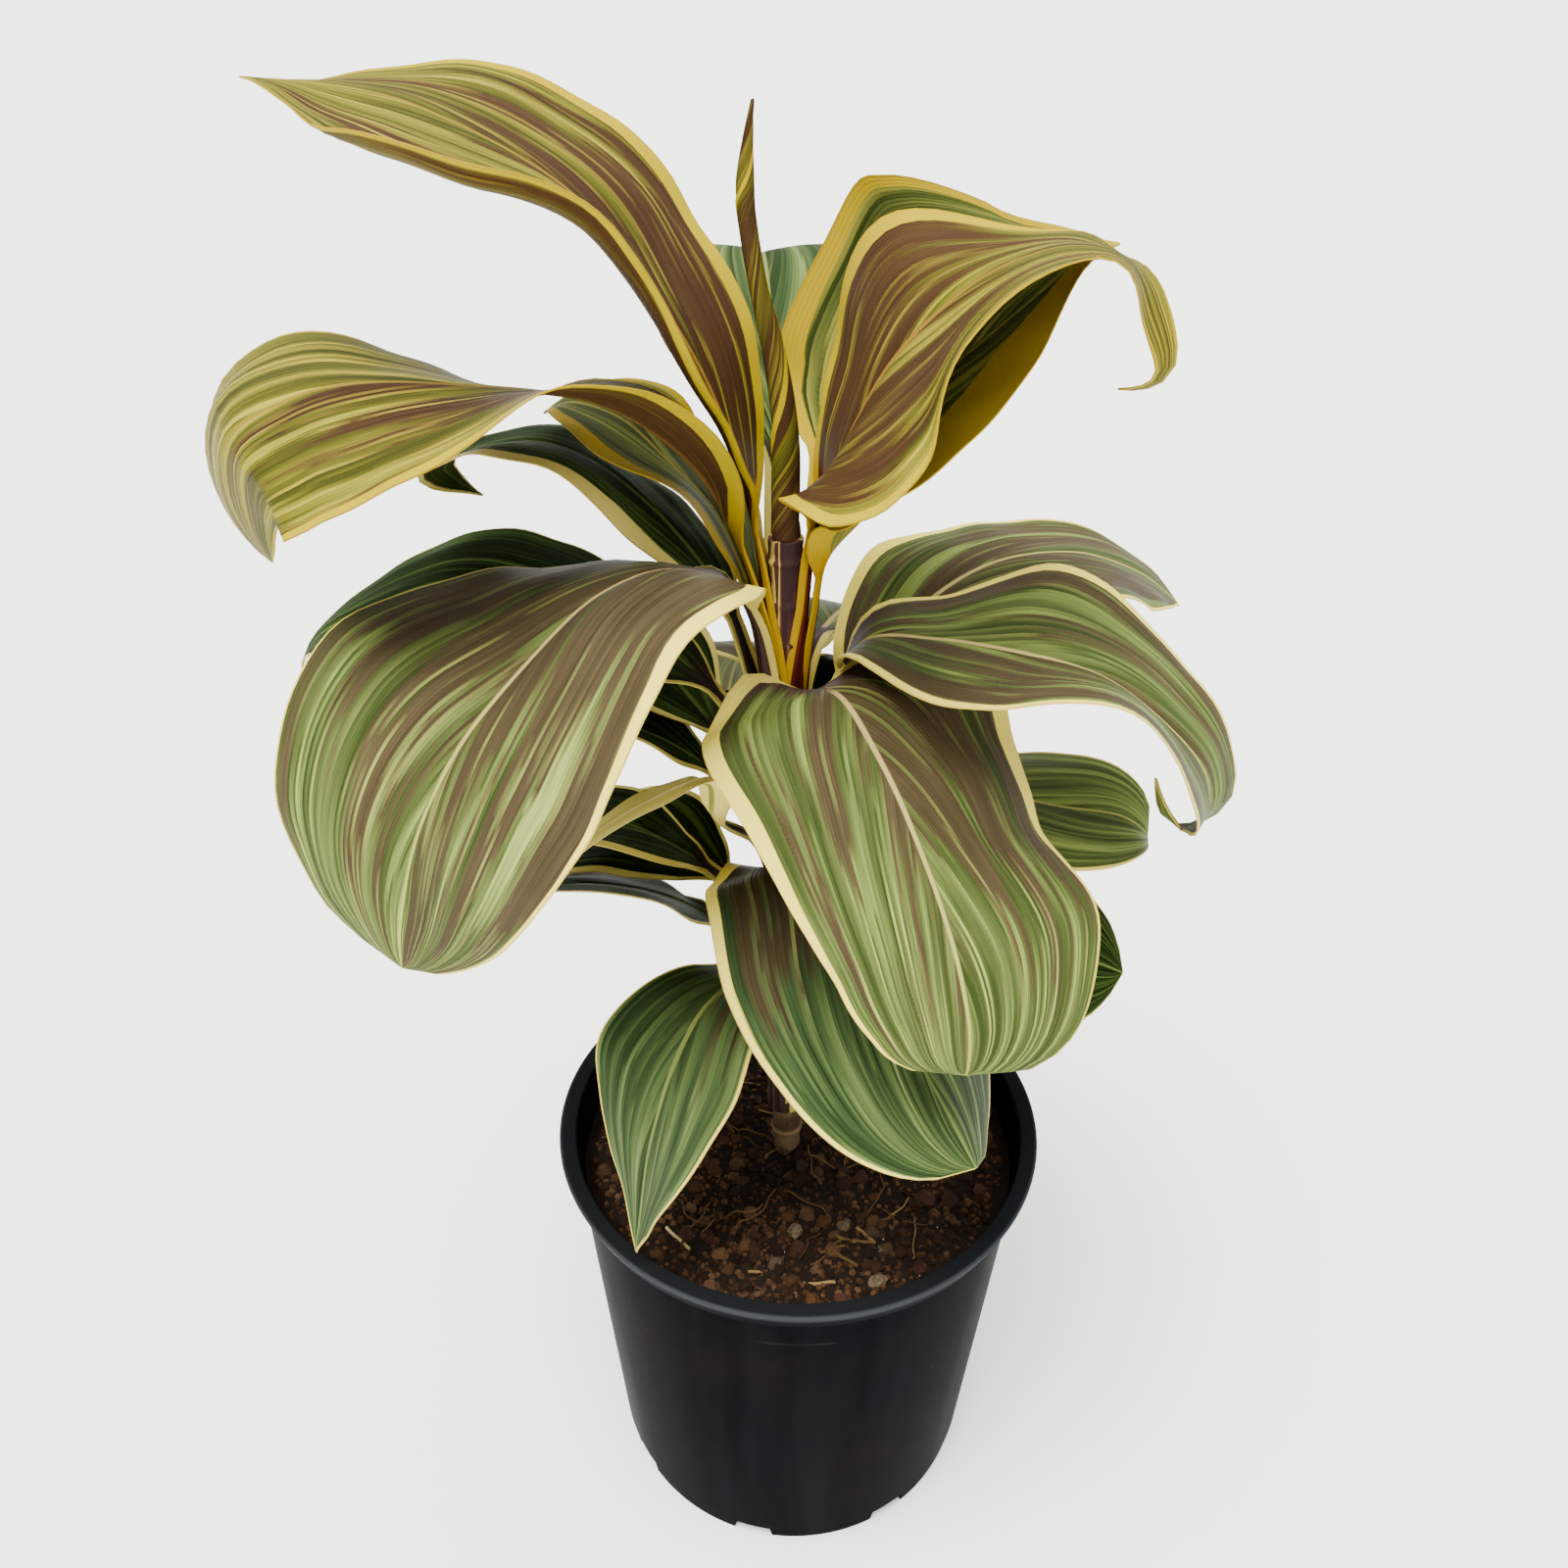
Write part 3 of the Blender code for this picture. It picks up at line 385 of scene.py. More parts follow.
# Rootlets and straw: thin strands that lie on the soil and bend as they go
strand_inputs = (("Density", "Float"), ("Length", "Float"), ("Thickness", "Float"), ("Bend", "Float"),
                 ("Seed", "Int"), ("Material", "Material"))
strand_tree, given, out_node = blank_tree("dry strands", strand_inputs)
ends = []
for share in (-0.5, 0.5):
    half = add(strand_tree, "ShaderNodeMath", {0: given["Length"], 1: share}, operation="MULTIPLY")
    ends.append(add(strand_tree, "ShaderNodeCombineXYZ", {0: half}))
line = add(strand_tree, "GeometryNodeCurvePrimitiveLine", {"Start": ends[0], "End": ends[1]})
points = add(strand_tree, "GeometryNodeResampleCurve", {"Curve": line, "Count": 14})
share = add(strand_tree, "FunctionNodeRandomValue", {2: 0.35, 3: 1.0, "Seed": given["Seed"]})
bent = strew(strand_tree, given, points, ((-0.1, -0.12, 0.0), (0.1, 0.12, 6.28)), share, shade_seed=41,
             warp_scale=60.0, warp_middle=(0.5, 0.5, 0.35), warp_reach=given["Bend"])
round_edge = add(strand_tree, "GeometryNodeCurvePrimitiveCircle", {
    "Resolution": 5, "Radius": given["Thickness"]})
tube = add(strand_tree, "GeometryNodeCurveToMesh", {
    "Curve": bent, "Profile Curve": round_edge, "Fill Caps": True})
painted = add(strand_tree, "GeometryNodeSetMaterial", {"Geometry": tube, "Material": given["Material"]})
wire(strand_tree, out_node, {0: painted})


def ground_material(name, stops, roughness, stain):
    """Earthy matter whose pieces each take their own colour, darkened in damp patches."""
    made, tree, shader = blank_material(name)
    place_of = object_place(tree)
    piece = add(tree, "ShaderNodeAttribute", attribute_name="shade").outputs["Fac"]
    speck = mottle(tree, place_of, 1.429, 3.0, 0.7)
    patch = mottle(tree, place_of, 35.71, 3.0)
    spread = add(tree, "ShaderNodeMath", {0: speck, 1: 0.5, 2: piece}, operation="MULTIPLY_ADD")
    moved = add(tree, "ShaderNodeMath", {0: spread, 1: 0.25}, operation="SUBTRACT")
    ramp = add(tree, "ShaderNodeValToRGB", {"Fac": moved}, stops=stops)
    damp = coat(tree, ramp, stain, patch, 0.4, 0.62, 0.55)
    bump = add(tree, "ShaderNodeBump", {"Strength": 0.6, "Distance": 0.0006, "Height": speck})
    wire(tree, shader, {
        "Base Color": damp, "Normal": bump, "Roughness": roughness, "Specular IOR Level": 0.15})
    return made


# Potting mix: crumbs of composted bark and sand, matt and dark brown, darker where damp
mix = ground_material("Potting mix, loose", (
    (0.1, "#1a1009"), (0.45, "#332012"), (0.7, "#452c18"), (0.95, "#543c27")), 0.92, "#180f08")
# Bark chips and small stones: reddish brown bark, grey and tan gravel
chips = ground_material("Bark chips and gravel", (
    (0.0, "#2a170c"), (0.35, "#3d2317"), (0.55, "#2f2117"), (0.75, "#4a3626"), (0.92, "#5a4c3a"),
    (1.0, "#7a6a52")), 0.8, "#1a0f07")
# Dry rootlets and straw: dull tan to pale straw
straw = ground_material("Rootlets and straw, dry", (
    (0.0, "#3a2815"), (0.5, "#5d4526"), (0.85, "#8a7246"), (1.0, "#b8a878")), 0.8, "#38260f")
# Sand: tiny pale grains between the crumbs
sand = ground_material("Sand specks", ((0.0, "#6a6258"), (1.0, "#c0bcb2")), 0.5, "#6a6258")

soil.data.materials.append(mix)
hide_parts("soil")
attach(soil, "root")

# What lies on the soil, with its sizes in the order of its tree's inputs. A density is in pieces to the
# square metre. Crumbs are drawn no smaller than 1.4 mm, so that each one shows. Each kind keeps clear of the
# wall by its own reach, which is the first number, in millimetres.
for name, reach, tree, inputs, *sizes in (
        ("soil_crumbs", 2.0, lump_tree, lump_inputs, 150000.0, 0.0014, 0.0036, 0.8, 0.0014, 1, 5, mix),
        ("soil_lumps", 4.5, lump_tree, lump_inputs, 17000.0, 0.003, 0.0075, 0.7, 0.0034, 2, 11, mix),
        ("bark_chips", 6.0, lump_tree, lump_inputs, 4200.0, 0.0035, 0.0105, 0.4, 0.0042, 2, 23, chips),
        ("sand_specks", 4.0, lump_tree, lump_inputs, 2600.0, 0.0006, 0.0014, 0.9, 0.0002, 1, 31, sand),
        ("rootlets", 20.0, strand_tree, strand_inputs, 2400.0, 0.034, 0.00038, 0.016, 9, straw),
        ("straw_bits", 12.0, strand_tree, strand_inputs, 1100.0, 0.02, 0.0008, 0.006, 14, straw)):
    rings = soil_rings[:int(soil_ring_count * (1 - reach / soil_radius))]
    host_points, host_faces = skin(rings)
    host = place(name, host_points, host_faces[:-2])
    maker = host.modifiers.new(name, "NODES")
    maker.node_group = tree
    set_inputs(maker, {label: size for (label, _), size in zip(inputs, sizes)})
    finished(host)
    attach(host, "root")


# Cane
# The plant's single woody stem, 12 mm thick and leaning a little, bare where old leaves have dropped. Each
# dropped leaf has left a raised ring scar, and the bark between the rings is dry and finely split. The cane
# stands 45 mm deep in the soil.

cane_head = (-9.0, 0.0)
cane_head_height = 462.0
cane_radius = 6.3
cane_sunk = 45.0
scar_spacing = 15.0
scar_relief = 0.9
bark_relief = 0.4
bark_knob_height = 1.2
old_bark_top = 300.0
young_bark_foot = 360.0


def cane_at(height):
    """The middle of the cane at a height."""
    t = (height - soil_top) / (cane_head_height - soil_top)
    return np.array([cane_foot[0] + (cane_head[0] - cane_foot[0]) * t, 0.0, height])


# The stem: a round profile swept along a line, swelling at each scar, with its skin roughened by a noise
ringed, given, out_node = blank_tree("ringed cane", (
    ("Foot", "Vector"), ("Head", "Vector"), ("Radius", "Float"), ("Scar spacing", "Float"),
    ("Scar relief", "Float"), ("Material", "Material")))
line = add(ringed, "GeometryNodeCurvePrimitiveLine", {"Start": given["Foot"], "End": given["Head"]})
points = add(ringed, "GeometryNodeResampleCurve", {"Curve": line, "Count": 420})
run = add(ringed, "GeometryNodeSplineParameter").outputs["Length"]
spot = add(ringed, "GeometryNodeInputPosition")
unevenness = add(ringed, "ShaderNodeTexNoise", {"Vector": spot, "Scale": 42.0, "Detail": 1.0})
shifted = add(ringed, "ShaderNodeMath", {0: unevenness, 1: 0.008, 2: run}, operation="MULTIPLY_ADD")
turns = add(ringed, "ShaderNodeMath", {0: shifted, 1: given["Scar spacing"]}, operation="DIVIDE")
phase = add(ringed, "ShaderNodeMath", {0: turns, 1: 1.0}, operation="FRACT")
swell = add(ringed, "ShaderNodeFloatCurve", {"Value": phase})
for at, high in ((0.06, 0.9), (0.12, 1.0), (0.17, 0.25), (0.22, 0.1), (0.6, 0.12)):
    swell.mapping.curves[0].points.new(at, high)
swell.mapping.curves[0].points[-1].location = (1.0, 0.35)
swell.mapping.update()
ring_radius = add(ringed, "ShaderNodeMath", {0: swell, 1: given["Scar relief"], 2: given["Radius"]},
                  operation="MULTIPLY_ADD")
marked = add(ringed, "GeometryNodeStoreNamedAttribute", {"Geometry": points, "Name": "scar", "Value": swell},
             domain="POINT")
wide = add(ringed, "GeometryNodeSetCurveRadius", {"Curve": marked, "Radius": ring_radius})
round_edge = add(ringed, "GeometryNodeCurvePrimitiveCircle", {"Resolution": 40, "Radius": 1.0})
stem = add(ringed, "GeometryNodeCurveToMesh", {
    "Curve": wide, "Profile Curve": round_edge, "Scale": ring_radius, "Fill Caps": True})
knobs = add(ringed, "ShaderNodeTexNoise", {"Vector": spot, "Scale": 160.0, "Detail": 3.0})
centred = add(ringed, "ShaderNodeMath", {0: knobs, 1: 0.5}, operation="SUBTRACT")
push = add(ringed, "ShaderNodeMath", {0: centred, 1: bark_knob_height * MM}, operation="MULTIPLY")
outward = add(ringed, "GeometryNodeInputNormal")
reach = add(ringed, "ShaderNodeVectorMath", {0: outward, "Scale": push}, operation="SCALE")
rough_stem = add(ringed, "GeometryNodeSetPosition", {"Geometry": stem, "Offset": reach})
soft = add(ringed, "GeometryNodeSetShadeSmooth", {"Geometry": rough_stem})
real = add(ringed, "GeometryNodeRealizeInstances", {"Geometry": soft})
painted = add(ringed, "GeometryNodeSetMaterial", {"Geometry": real, "Material": given["Material"]})
wire(ringed, out_node, {0: painted})

# Woody bark, dry: grey-brown, with fine upright splits about 1 mm apart and a pale edge on each ring scar. Up
# among the stalks it is young, dark red, and streaked with the pale edges of the leaf bases that wrap it.
bark, tree, shader = blank_material("Woody cane bark, dry")
place_of = object_place(tree)
height_of = add(tree, "ShaderNodeSeparateXYZ", {0: place_of}).outputs["Z"]
scar = add(tree, "ShaderNodeAttribute", attribute_name="scar").outputs["Fac"]
splits = mottle(tree, place_of, (1.25, 1.25, 10.42), 3.0)
blotches = mottle(tree, place_of, 11.11, 4.0)
wraps = mottle(tree, place_of, (4.167, 4.167, 104.2), 1.0)
wood = add(tree, "ShaderNodeValToRGB", {"Fac": blotches}, stops=(
    (0.3, "#33261a"), (0.5, "#4d3b28"), (0.7, "#665238")))
wrapped = add(tree, "ShaderNodeValToRGB", {"Fac": wraps}, stops=(
    (0.4, "#2c1a1a"), (0.54, "#4a2622"), (0.58, "#a8903a"), (0.64, "#b8a44c"), (0.67, "#42231e")))
ringed_wood = add(tree, "ShaderNodeMix", {0: scar, 6: wood, 7: "#846c4a"}, data_type="RGBA")
grown = coat(tree, ringed_wood, wrapped, height_of, old_bark_top, young_bark_foot)
split_wood = coat(tree, grown, "#2c2119", splits, 0.42, 0.3)
bump = add(tree, "ShaderNodeBump", {"Strength": 0.7, "Distance": 0.0005, "Height": splits})
wire(tree, shader, {"Base Color": split_wood, "Normal": bump, "Roughness": 0.82, "Specular IOR Level": 0.15})

cane = place("cane_stem", [(0, 0, 0), (1, 0, 0), (0, 1, 0)], [(0, 1, 2)])
maker = cane.modifiers.new("ringed cane", "NODES")
maker.node_group = ringed
set_inputs(maker, {
    "Foot": (cane_at(soil_top - cane_sunk) * MM).tolist(), "Head": (cane_at(cane_head_height) * MM).tolist(),
    "Radius": (cane_radius - bark_relief) * MM, "Scar spacing": scar_spacing * MM,
    "Scar relief": scar_relief * MM, "Material": bark})
finished(cane)
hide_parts("cane")
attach(cane, "root")


# Leaves
# Living leaves, each one blade on a channelled stalk that clasps the cane. The veins leave the midrib one
# after another and run on to the tip, and the stripes of brown, green and cream follow them.

# Each leaf has its azimuth round the cane (degrees from +X towards +Y) and the points its midrib passes
# through, as (distance out from the cane, height). fold is how far each half rises from level (degrees),
# curl is how much more it turns by its margin, edge is a late turn in the margin alone, and share makes one
# half wider or narrower; each may be given along the midrib and for one side. roll turns the whole section.
# widest, base, point and tail shape the outline, and stalk is the length of the bare stalk. Every midrib
# starts as far out from the cane's middle as ROOT says.
ROOT = 7.6
leaf_forms = {
    "leaf_top_left": dict(
        azimuth=178.4, width=104, stalk=30, widest=0.56,
        rib=[(ROOT, 436), (10, 458.9), (15.6, 485.4), (25.9, 514.7), (40.6, 540.1), (58.1, 562.8),
             (83.2, 580.9), (109.4, 592), (136.6, 596.7), (158.4, 598.4)],
        fold_left=[11, 9, 2, -7, -3, -1, -11, -15, -12, 3],
        share_left=[1.03, 0.96, 0.88, 0.79, 0.73, 0.83, 1.08, 1.29, 1.23, 1.11],
        fold_right=[20, 21, 17, 18, 12, 12, 11, 8, -5, -19],
        share_right=[1, 1.04, 1.07, 1.09, 1.05, 1.02, 0.99, 0.97, 1, 1.01], curl_right=10,
        edge_left=[85, 85, 85, 85, 85, 85, 80, 65, 30, 0]),
    "leaf_top_right": dict(
        azimuth=338.2, width=119, stalk=34, widest=0.3, base=0.75, point=2.2, tail=12,
        rib=[(ROOT, 438), (8.9, 456), (13.3, 480), (23.6, 505.4), (42.4, 536.2), (63.7, 554.3),
             (86.8, 562.6), (100.5, 559.9), (107.8, 546.7), (113.3, 530.5), (102.6, 524.6)],
        fold_left=[10, 20, 33, 35, 42, 9, -6, -9, 17, 38, 19],
        share_left=[1, 1, 0.8, 0.8, 0.88, 0.82, 0.93, 1.04, 1.16, 1.2, 1.17],
        fold_right=[10, 10, 5, -15, -25, -13, -1, 10, 5, -8, -29],
        share_right=[1, 1, 1, 1.3, 1.24, 1.13, 0.92, 0.97, 1.04, 1.07, 1.07]),
    "leaf_top_right_behind": dict(
        azimuth=357.5, width=120, stalk=42, widest=0.42, base=0.55, point=1.2,
        rib=[(ROOT, 408), (10, 434), (13.5, 456), (25.6, 472.6), (34.3, 493.3), (45.5, 515.1),
             (61, 530.8), (76.3, 544.3), (88.2, 554.5), (97.4, 558.1)],
        fold_left=[0, 20, 26, 15, 9, 8, 22, 23, 21, 11],
        share_left=[1, 1, 1.1, 1.13, 1.18, 1.26, 1.46, 1.32, 1.11, 0.99],
        fold_right=[0, 20, 40, 21, 4, -9, -16, -13, -8, -2],
        share_right=[1, 1, 1, 1.02, 0.95, 0.85, 0.76, 0.7, 0.68, 0.97],
        curl_left=[0, 10, 28, 48, 68, 74, 68, 50, 22, 0]),
    "leaf_top_back": dict(
        azimuth=95, width=84, stalk=66, base=1.4,
        rib=[(ROOT, 419), (23, 444), (47, 472), (74, 501), (102, 523), (130, 528), (154, 511)],
        fold=10, curl=-12),
    "leaf_upper_left": dict(
        azimuth=189.8, width=107, stalk=44, widest=0.62, point=0.7,
        rib=[(ROOT, 416), (9.5, 432.3), (13.1, 448.8), (18.9, 466.7), (27.5, 484.6), (41.1, 499.4),
             (56.4, 508.5), (76.5, 514), (99.4, 517.3), (125.3, 518.5), (151.6, 515.2), (172.2, 504.1),
             (176.1, 484.7), (166.8, 462.7)],
        fold_left=[19, 21, 23, 27, 32, 30, 26, 17, -3, -13, -20, -24, -27, -28],
        share_left=[0.99, 1, 1.02, 1.03, 1.05, 1.03, 1.03, 1.03, 1.04, 1.02, 1.03, 1.06, 1.06, 1.06],
        fold_right=[20, 20, 22, 20, 18, 11, -3, -18, -15, 0, 14, 22, 28, 32],
        share_right=[1, 1, 1, 1, 1, 1, 1, 1, 1, 1, 1.02, 1.03, 1.02, 1],
        curl=[0, 0, 0, 0, 0, 0, 0, 0, 0, -10, -15, -20, -20, -20]),
    "leaf_upper_left_behind": dict(
        azimuth=148.4, width=72, stalk=38,
        rib=[(ROOT, 396), (11.1, 421.3), (18.6, 445.2), (31.9, 467.3), (51.3, 480.5), (71, 490.8),
             (91.7, 491.9), (104.1, 486.2)],
        fold_left=[13, 20, 27, 27, 12, 2, -2, -1],
        share_left=[0.79, 0.76, 0.74, 0.74, 0.79, 0.87, 0.9, 0.89],
        fold_right=[10, 3, -5, -12, -13, 7, 14, 17],
        share_right=[1, 0.97, 0.95, 0.93, 0.96, 1.08, 1.1, 1.09]),
    "leaf_upper_back": dict(
        azimuth=74, width=80, stalk=48, base=0.7,
        rib=[(ROOT, 388), (13, 401), (26, 407), (48, 405), (78, 400), (112, 386), (140, 362)],
        fold=6, curl=-12),
    "leaf_curled_left": dict(
        azimuth=157.3, width=73, stalk=54,
        rib=[(ROOT, 376), (15, 408), (26, 437), (48.4, 461.5), (72.4, 477.1), (97.6, 481.5),
             (122.1, 474.7), (139, 466.2), (122.3, 457.5)],
        fold_left=[6, 6, 6, 4, 17, 14, 10, 7, 4], share_left=[1, 1, 0.9, 0.7, 0.85, 1, 1, 0.99, 0.99],
        fold_right=[0, 0, 0, -11, -17, -2, 8, 16, 20],
        share_right=[1, 1, 1, 0.96, 0.91, 0.87, 0.78, 0.68, 0.67], curl=-10),
    "leaf_dark_left": dict(
        azimuth=169.2, width=84, stalk=44,
        rib=[(ROOT, 362), (19, 388.3), (38.1, 410.8), (65, 427.2), (95.1, 435.4), (127.6, 433.2),
             (157.2, 420.5), (182.5, 404.9), (191.2, 391.4)],
        fold_left=-6, fold_right=[12, 7, 2, 0, 6, 12, 14, 18, 27],
        share_right=[1, 0.97, 0.95, 0.93, 0.97, 1, 1, 0.99, 0.99], curl=-10),
    "leaf_broad_left": dict(
        azimuth=214.8, width=129, stalk=52, widest=0.5, base=0.8, point=0.55,
        rib=[(ROOT, 390), (9.7, 412.8), (14.1, 434.9), (24.3, 452.2), (46.4, 461.9), (72.4, 458.5),
             (96.6, 443), (122.2, 421.6), (141.2, 392), (150.4, 363.9), (152.5, 345.1)],
        fold_left=[7, 6, 7, 10, 13, 23, 27, 26, 26, 14, 1],
        share_left=[0.99, 1.01, 1.03, 1.06, 1.08, 1.05, 1.05, 1.02, 0.99, 0.98, 0.98],
        fold_right=[-1, 4, -2, -10, -9, -11, -6, 2, 5, 8, 10],
        share_right=[1, 1, 0.59, 0.58, 0.82, 0.97, 1, 1.05, 1.06, 1.07, 1.06], curl=-16,
        roll=[0, 0, 0, 0, 0, -8, -17, -28, -34, -30, -20]),
    "leaf_broad_front": dict(
        azimuth=297.9, width=152, stalk=40, widest=0.5, base=0.42, point=0.5,
        rib=[(ROOT, 378), (10.5, 398), (22, 414), (38.2, 419), (65.8, 408.9), (94.8, 388.5),
             (117.4, 361.7), (126.9, 340), (126.8, 324.9)],
        fold_left=[0, 6, 14, 15, 1, -5, 10, 24, 41],
        share_left=[0.6, 0.6, 0.7, 1, 0.86, 0.79, 0.87, 0.88, 0.97],
        fold_right=[0, -5, -12, 10, 2, -12, -20, -17, -6],
        share_right=[1, 1, 1, 1.03, 0.73, 0.6, 0.59, 0.67, 0.89], curl=-26),
    "leaf_arching_right": dict(
        azimuth=341.9, width=89, stalk=58, base=0.6, point=1.4, tail=10,
        rib=[(ROOT, 362), (13.5, 396), (29, 428.9), (52.2, 432.9), (81.7, 433.2), (110.7, 427.4),
             (132.9, 413.8), (147.4, 397.9), (150, 383.7), (142.5, 377.1), (131.6, 393.8)],
        fold_left=[14, 14, 14, 9, 23, 15, 12, 21, 29, 37, 38],
        share_left=[1, 1, 1, 0.99, 1.08, 1.06, 1.02, 1.03, 1.03, 1.01, 0.99],
        fold_right=[0, 4, 8, 2, 8, 26, 20, 3, -10, -23, -24],
        share_right=[1, 1, 1, 1.03, 1.05, 1.03, 1.03, 1.04, 1.04, 1.05, 1.05], curl=-12),
    "leaf_arching_right_behind": dict(
        azimuth=25.1, width=88, stalk=46, base=0.6,
        rib=[(ROOT, 352), (16, 378), (34, 406.5), (58.4, 429.9), (89.7, 439.6), (121.2, 436.6),
             (152.6, 422.4), (174.4, 405.1)],
        fold_left=[9, 11, 12, 6, -3, 3, 18, 25],
        share_left=[1.03, 1.08, 1.12, 1.11, 1.04, 1.01, 1.02, 1.02],
        fold_right=[-11, -8, -5, 0, 2, -4, -16, -21],
        share_right=[1.01, 0.99, 0.97, 0.94, 0.92, 0.94, 1.01, 1.05], curl=-8),
    "leaf_middle_back": dict(
        azimuth=101, width=84, stalk=52, base=0.7,
        rib=[(ROOT, 356), (15, 376), (34, 388), (62, 390), (96, 374), (130, 346), (156, 312)],
        fold=8, curl=-12, share_left=[0.85, 0.85, 0.8, 0.8, 0.85, 0.9, 1]),
    "leaf_middle_left_behind": dict(
        azimuth=149.4, width=66, stalk=40,
        rib=[(ROOT, 344), (20.5, 365.9), (41, 385.9), (65.6, 401.7), (97.6, 402), (129.6, 384.3)],
        fold_left=[7, 8, 10, 11, 10, 9], share_left=[1.01, 1, 0.98, 0.98, 0.98, 0.99], fold_right=8,
        curl=-5),
    "leaf_middle_left": dict(
        azimuth=181.2, width=66, stalk=40,
        rib=[(ROOT, 334), (18, 357), (38, 377.5), (63, 389.5), (96, 387), (127.6, 364.9)],
        fold_left=[4, 10, 17, 26, 22, 16], share_left=[1.01, 1.01, 1, 0.99, 0.99, 0.99], fold_right=8,
        curl=-5),
    "leaf_middle_right_behind": dict(
        azimuth=58, width=78, stalk=42, base=0.7,
        rib=[(ROOT, 334), (16, 355), (36, 372), (62, 377), (94, 366), (128, 338), (152, 306)],
        fold=6, curl=-10),
    "leaf_low_right": dict(
        azimuth=356.7, width=84, stalk=40, widest=0.55, base=0.6, point=0.6,
        rib=[(ROOT, 330), (18.3, 347.7), (42.5, 359.6), (70.7, 362.5), (100.9, 359.5), (127, 355.4),
             (136.3, 348)],
        fold_left=[4, 2, -1, -1, 4, 17, 30], share_left=[1, 0.98, 0.96, 0.95, 0.97, 1.04, 1.12],
        fold_right=[5, 6, 6, 6, 5, 2, 4], share_right=[1, 1, 1, 0.99, 0.99, 0.99, 0.96], curl=-10),
    "leaf_drooping_left": dict(
        azimuth=208.8, width=44, stalk=40,
        rib=[(ROOT, 322), (15, 342), (29.9, 357.1), (32.2, 373.8), (56.2, 373), (82.5, 362.1),
             (95.9, 348.5)],
        fold_left=[0, 0, 0, 3, 3, 3, 7], share_left=[0.75, 0.75, 0.7, 0.69, 0.69, 0.68, 0.7],
        fold_right=[0, 0, 0, 16, 17, 11, 4], share_right=[1, 1, 0.7, 0.49, 0.45, 0.58, 0.9],
        edge_left=-60, roll=[0, 0, 20, 34, 34, 30, 26]),
    "leaf_low_back": dict(
        azimuth=84, width=82, stalk=40, base=0.7,
        rib=[(ROOT, 316), (17, 339), (38, 354), (66, 357), (98, 346), (128, 320), (148, 292)],
        fold=8, curl=-14),
    "leaf_low_front": dict(
        azimuth=302, width=121, stalk=26, widest=0.5, base=0.42, point=0.55,
        rib=[(ROOT, 300), (10.5, 317), (11.3, 333.1), (28.5, 337), (52.8, 322.3), (80, 302.6),
             (106.4, 286.5), (125.5, 275.4)],
        fold_left=[-5, -5, -5, -5, -9, -15, -26, -34],
        share_left=[0.6, 0.5, 0.45, 0.42, 0.52, 0.8, 0.89, 0.86],
        fold_right=[-5, -5, 11, 22, 19, 11, 2, -7],
        share_right=[1, 1, 1.11, 1.14, 1.05, 0.92, 0.9, 0.93], curl=-20),
    "leaf_low_back_right": dict(
        azimuth=36, width=78, stalk=38, base=0.7,
        rib=[(ROOT, 296), (17, 318), (38, 334), (66, 340), (96, 330), (122, 308), (138, 282)],
        fold=8, curl=-14),
    "leaf_low_left": dict(
        azimuth=173.9, width=67, stalk=40,
        rib=[(ROOT, 290), (19.1, 308.8), (39.7, 327.4), (65.3, 340.2), (98, 336.9), (131, 314.9)],
        fold_left=[4, 12, 18, 20, 18, 14], share_left=[1.02, 1.01, 1, 0.98, 0.98, 0.98],
        fold_right=[7, 2, -3, -5, -1, 3], share_right=[1, 0.98, 0.96, 0.94, 0.96, 0.98], curl=-5),
    "leaf_lowest_back": dict(
        azimuth=154, width=72, stalk=38, base=0.7,
        rib=[(ROOT, 280), (17, 300), (38, 317), (64, 323), (92, 314), (116, 296), (130, 276)],
        fold=6, curl=-14),
    "leaf_lowest_left": dict(
        azimuth=187.8, width=68, stalk=40,
        rib=[(ROOT, 267), (17.5, 288.3), (36.2, 307.5), (60.9, 320.3), (89.5, 323.9), (119.7, 314)],
        fold_left=[2, 10, 20, 31, 34, 30], share_left=[1.03, 1.04, 1.03, 1, 0.98, 0.97],
        fold_right=[-10, -12, -17, -25, -27, -24], share_right=[1.02, 1.02, 1.02, 1, 0.99, 0.98],
        curl=-5),
    "leaf_lowest_right": dict(
        azimuth=345.2, width=101, stalk=44, widest=0.55, base=0.6, point=0.7,
        rib=[(ROOT, 262), (20, 280), (42, 293), (69.7, 301), (97.3, 305), (119.4, 305), (131.6, 302.1)],
        fold_left=[5, 5, 5, 6, 8, 10, 9], share_left=[1, 1, 1, 1.01, 1.03, 1.04, 1.04],
        fold_right=[-20, -24, -32, -34, -30, -22, -20], share_right=[1, 0.9, 0.5, 0.34, 0.34, 0.8, 0.96],
        curl=-10),
    "leaf_pot_left": dict(
        azimuth=234.7, width=70, stalk=28, widest=0.36, base=0.7,
        rib=[(ROOT, 256), (17.1, 276.5), (33.6, 289.4), (55.2, 290.1), (72.7, 276.1), (85.7, 251.6),
             (94, 224.7), (99.4, 197.6)],
        fold_left=[14, 16, 18, 19, 15, 18, 25, 28],
        share_left=[1, 0.98, 0.97, 0.96, 0.99, 0.92, 0.79, 0.74],
        fold_right=[9, 10, 12, 13, 17, 10, -1, -6],
        share_right=[0.77, 0.76, 0.77, 0.8, 0.94, 0.92, 0.81, 0.72], curl=-10, roll=5),
}
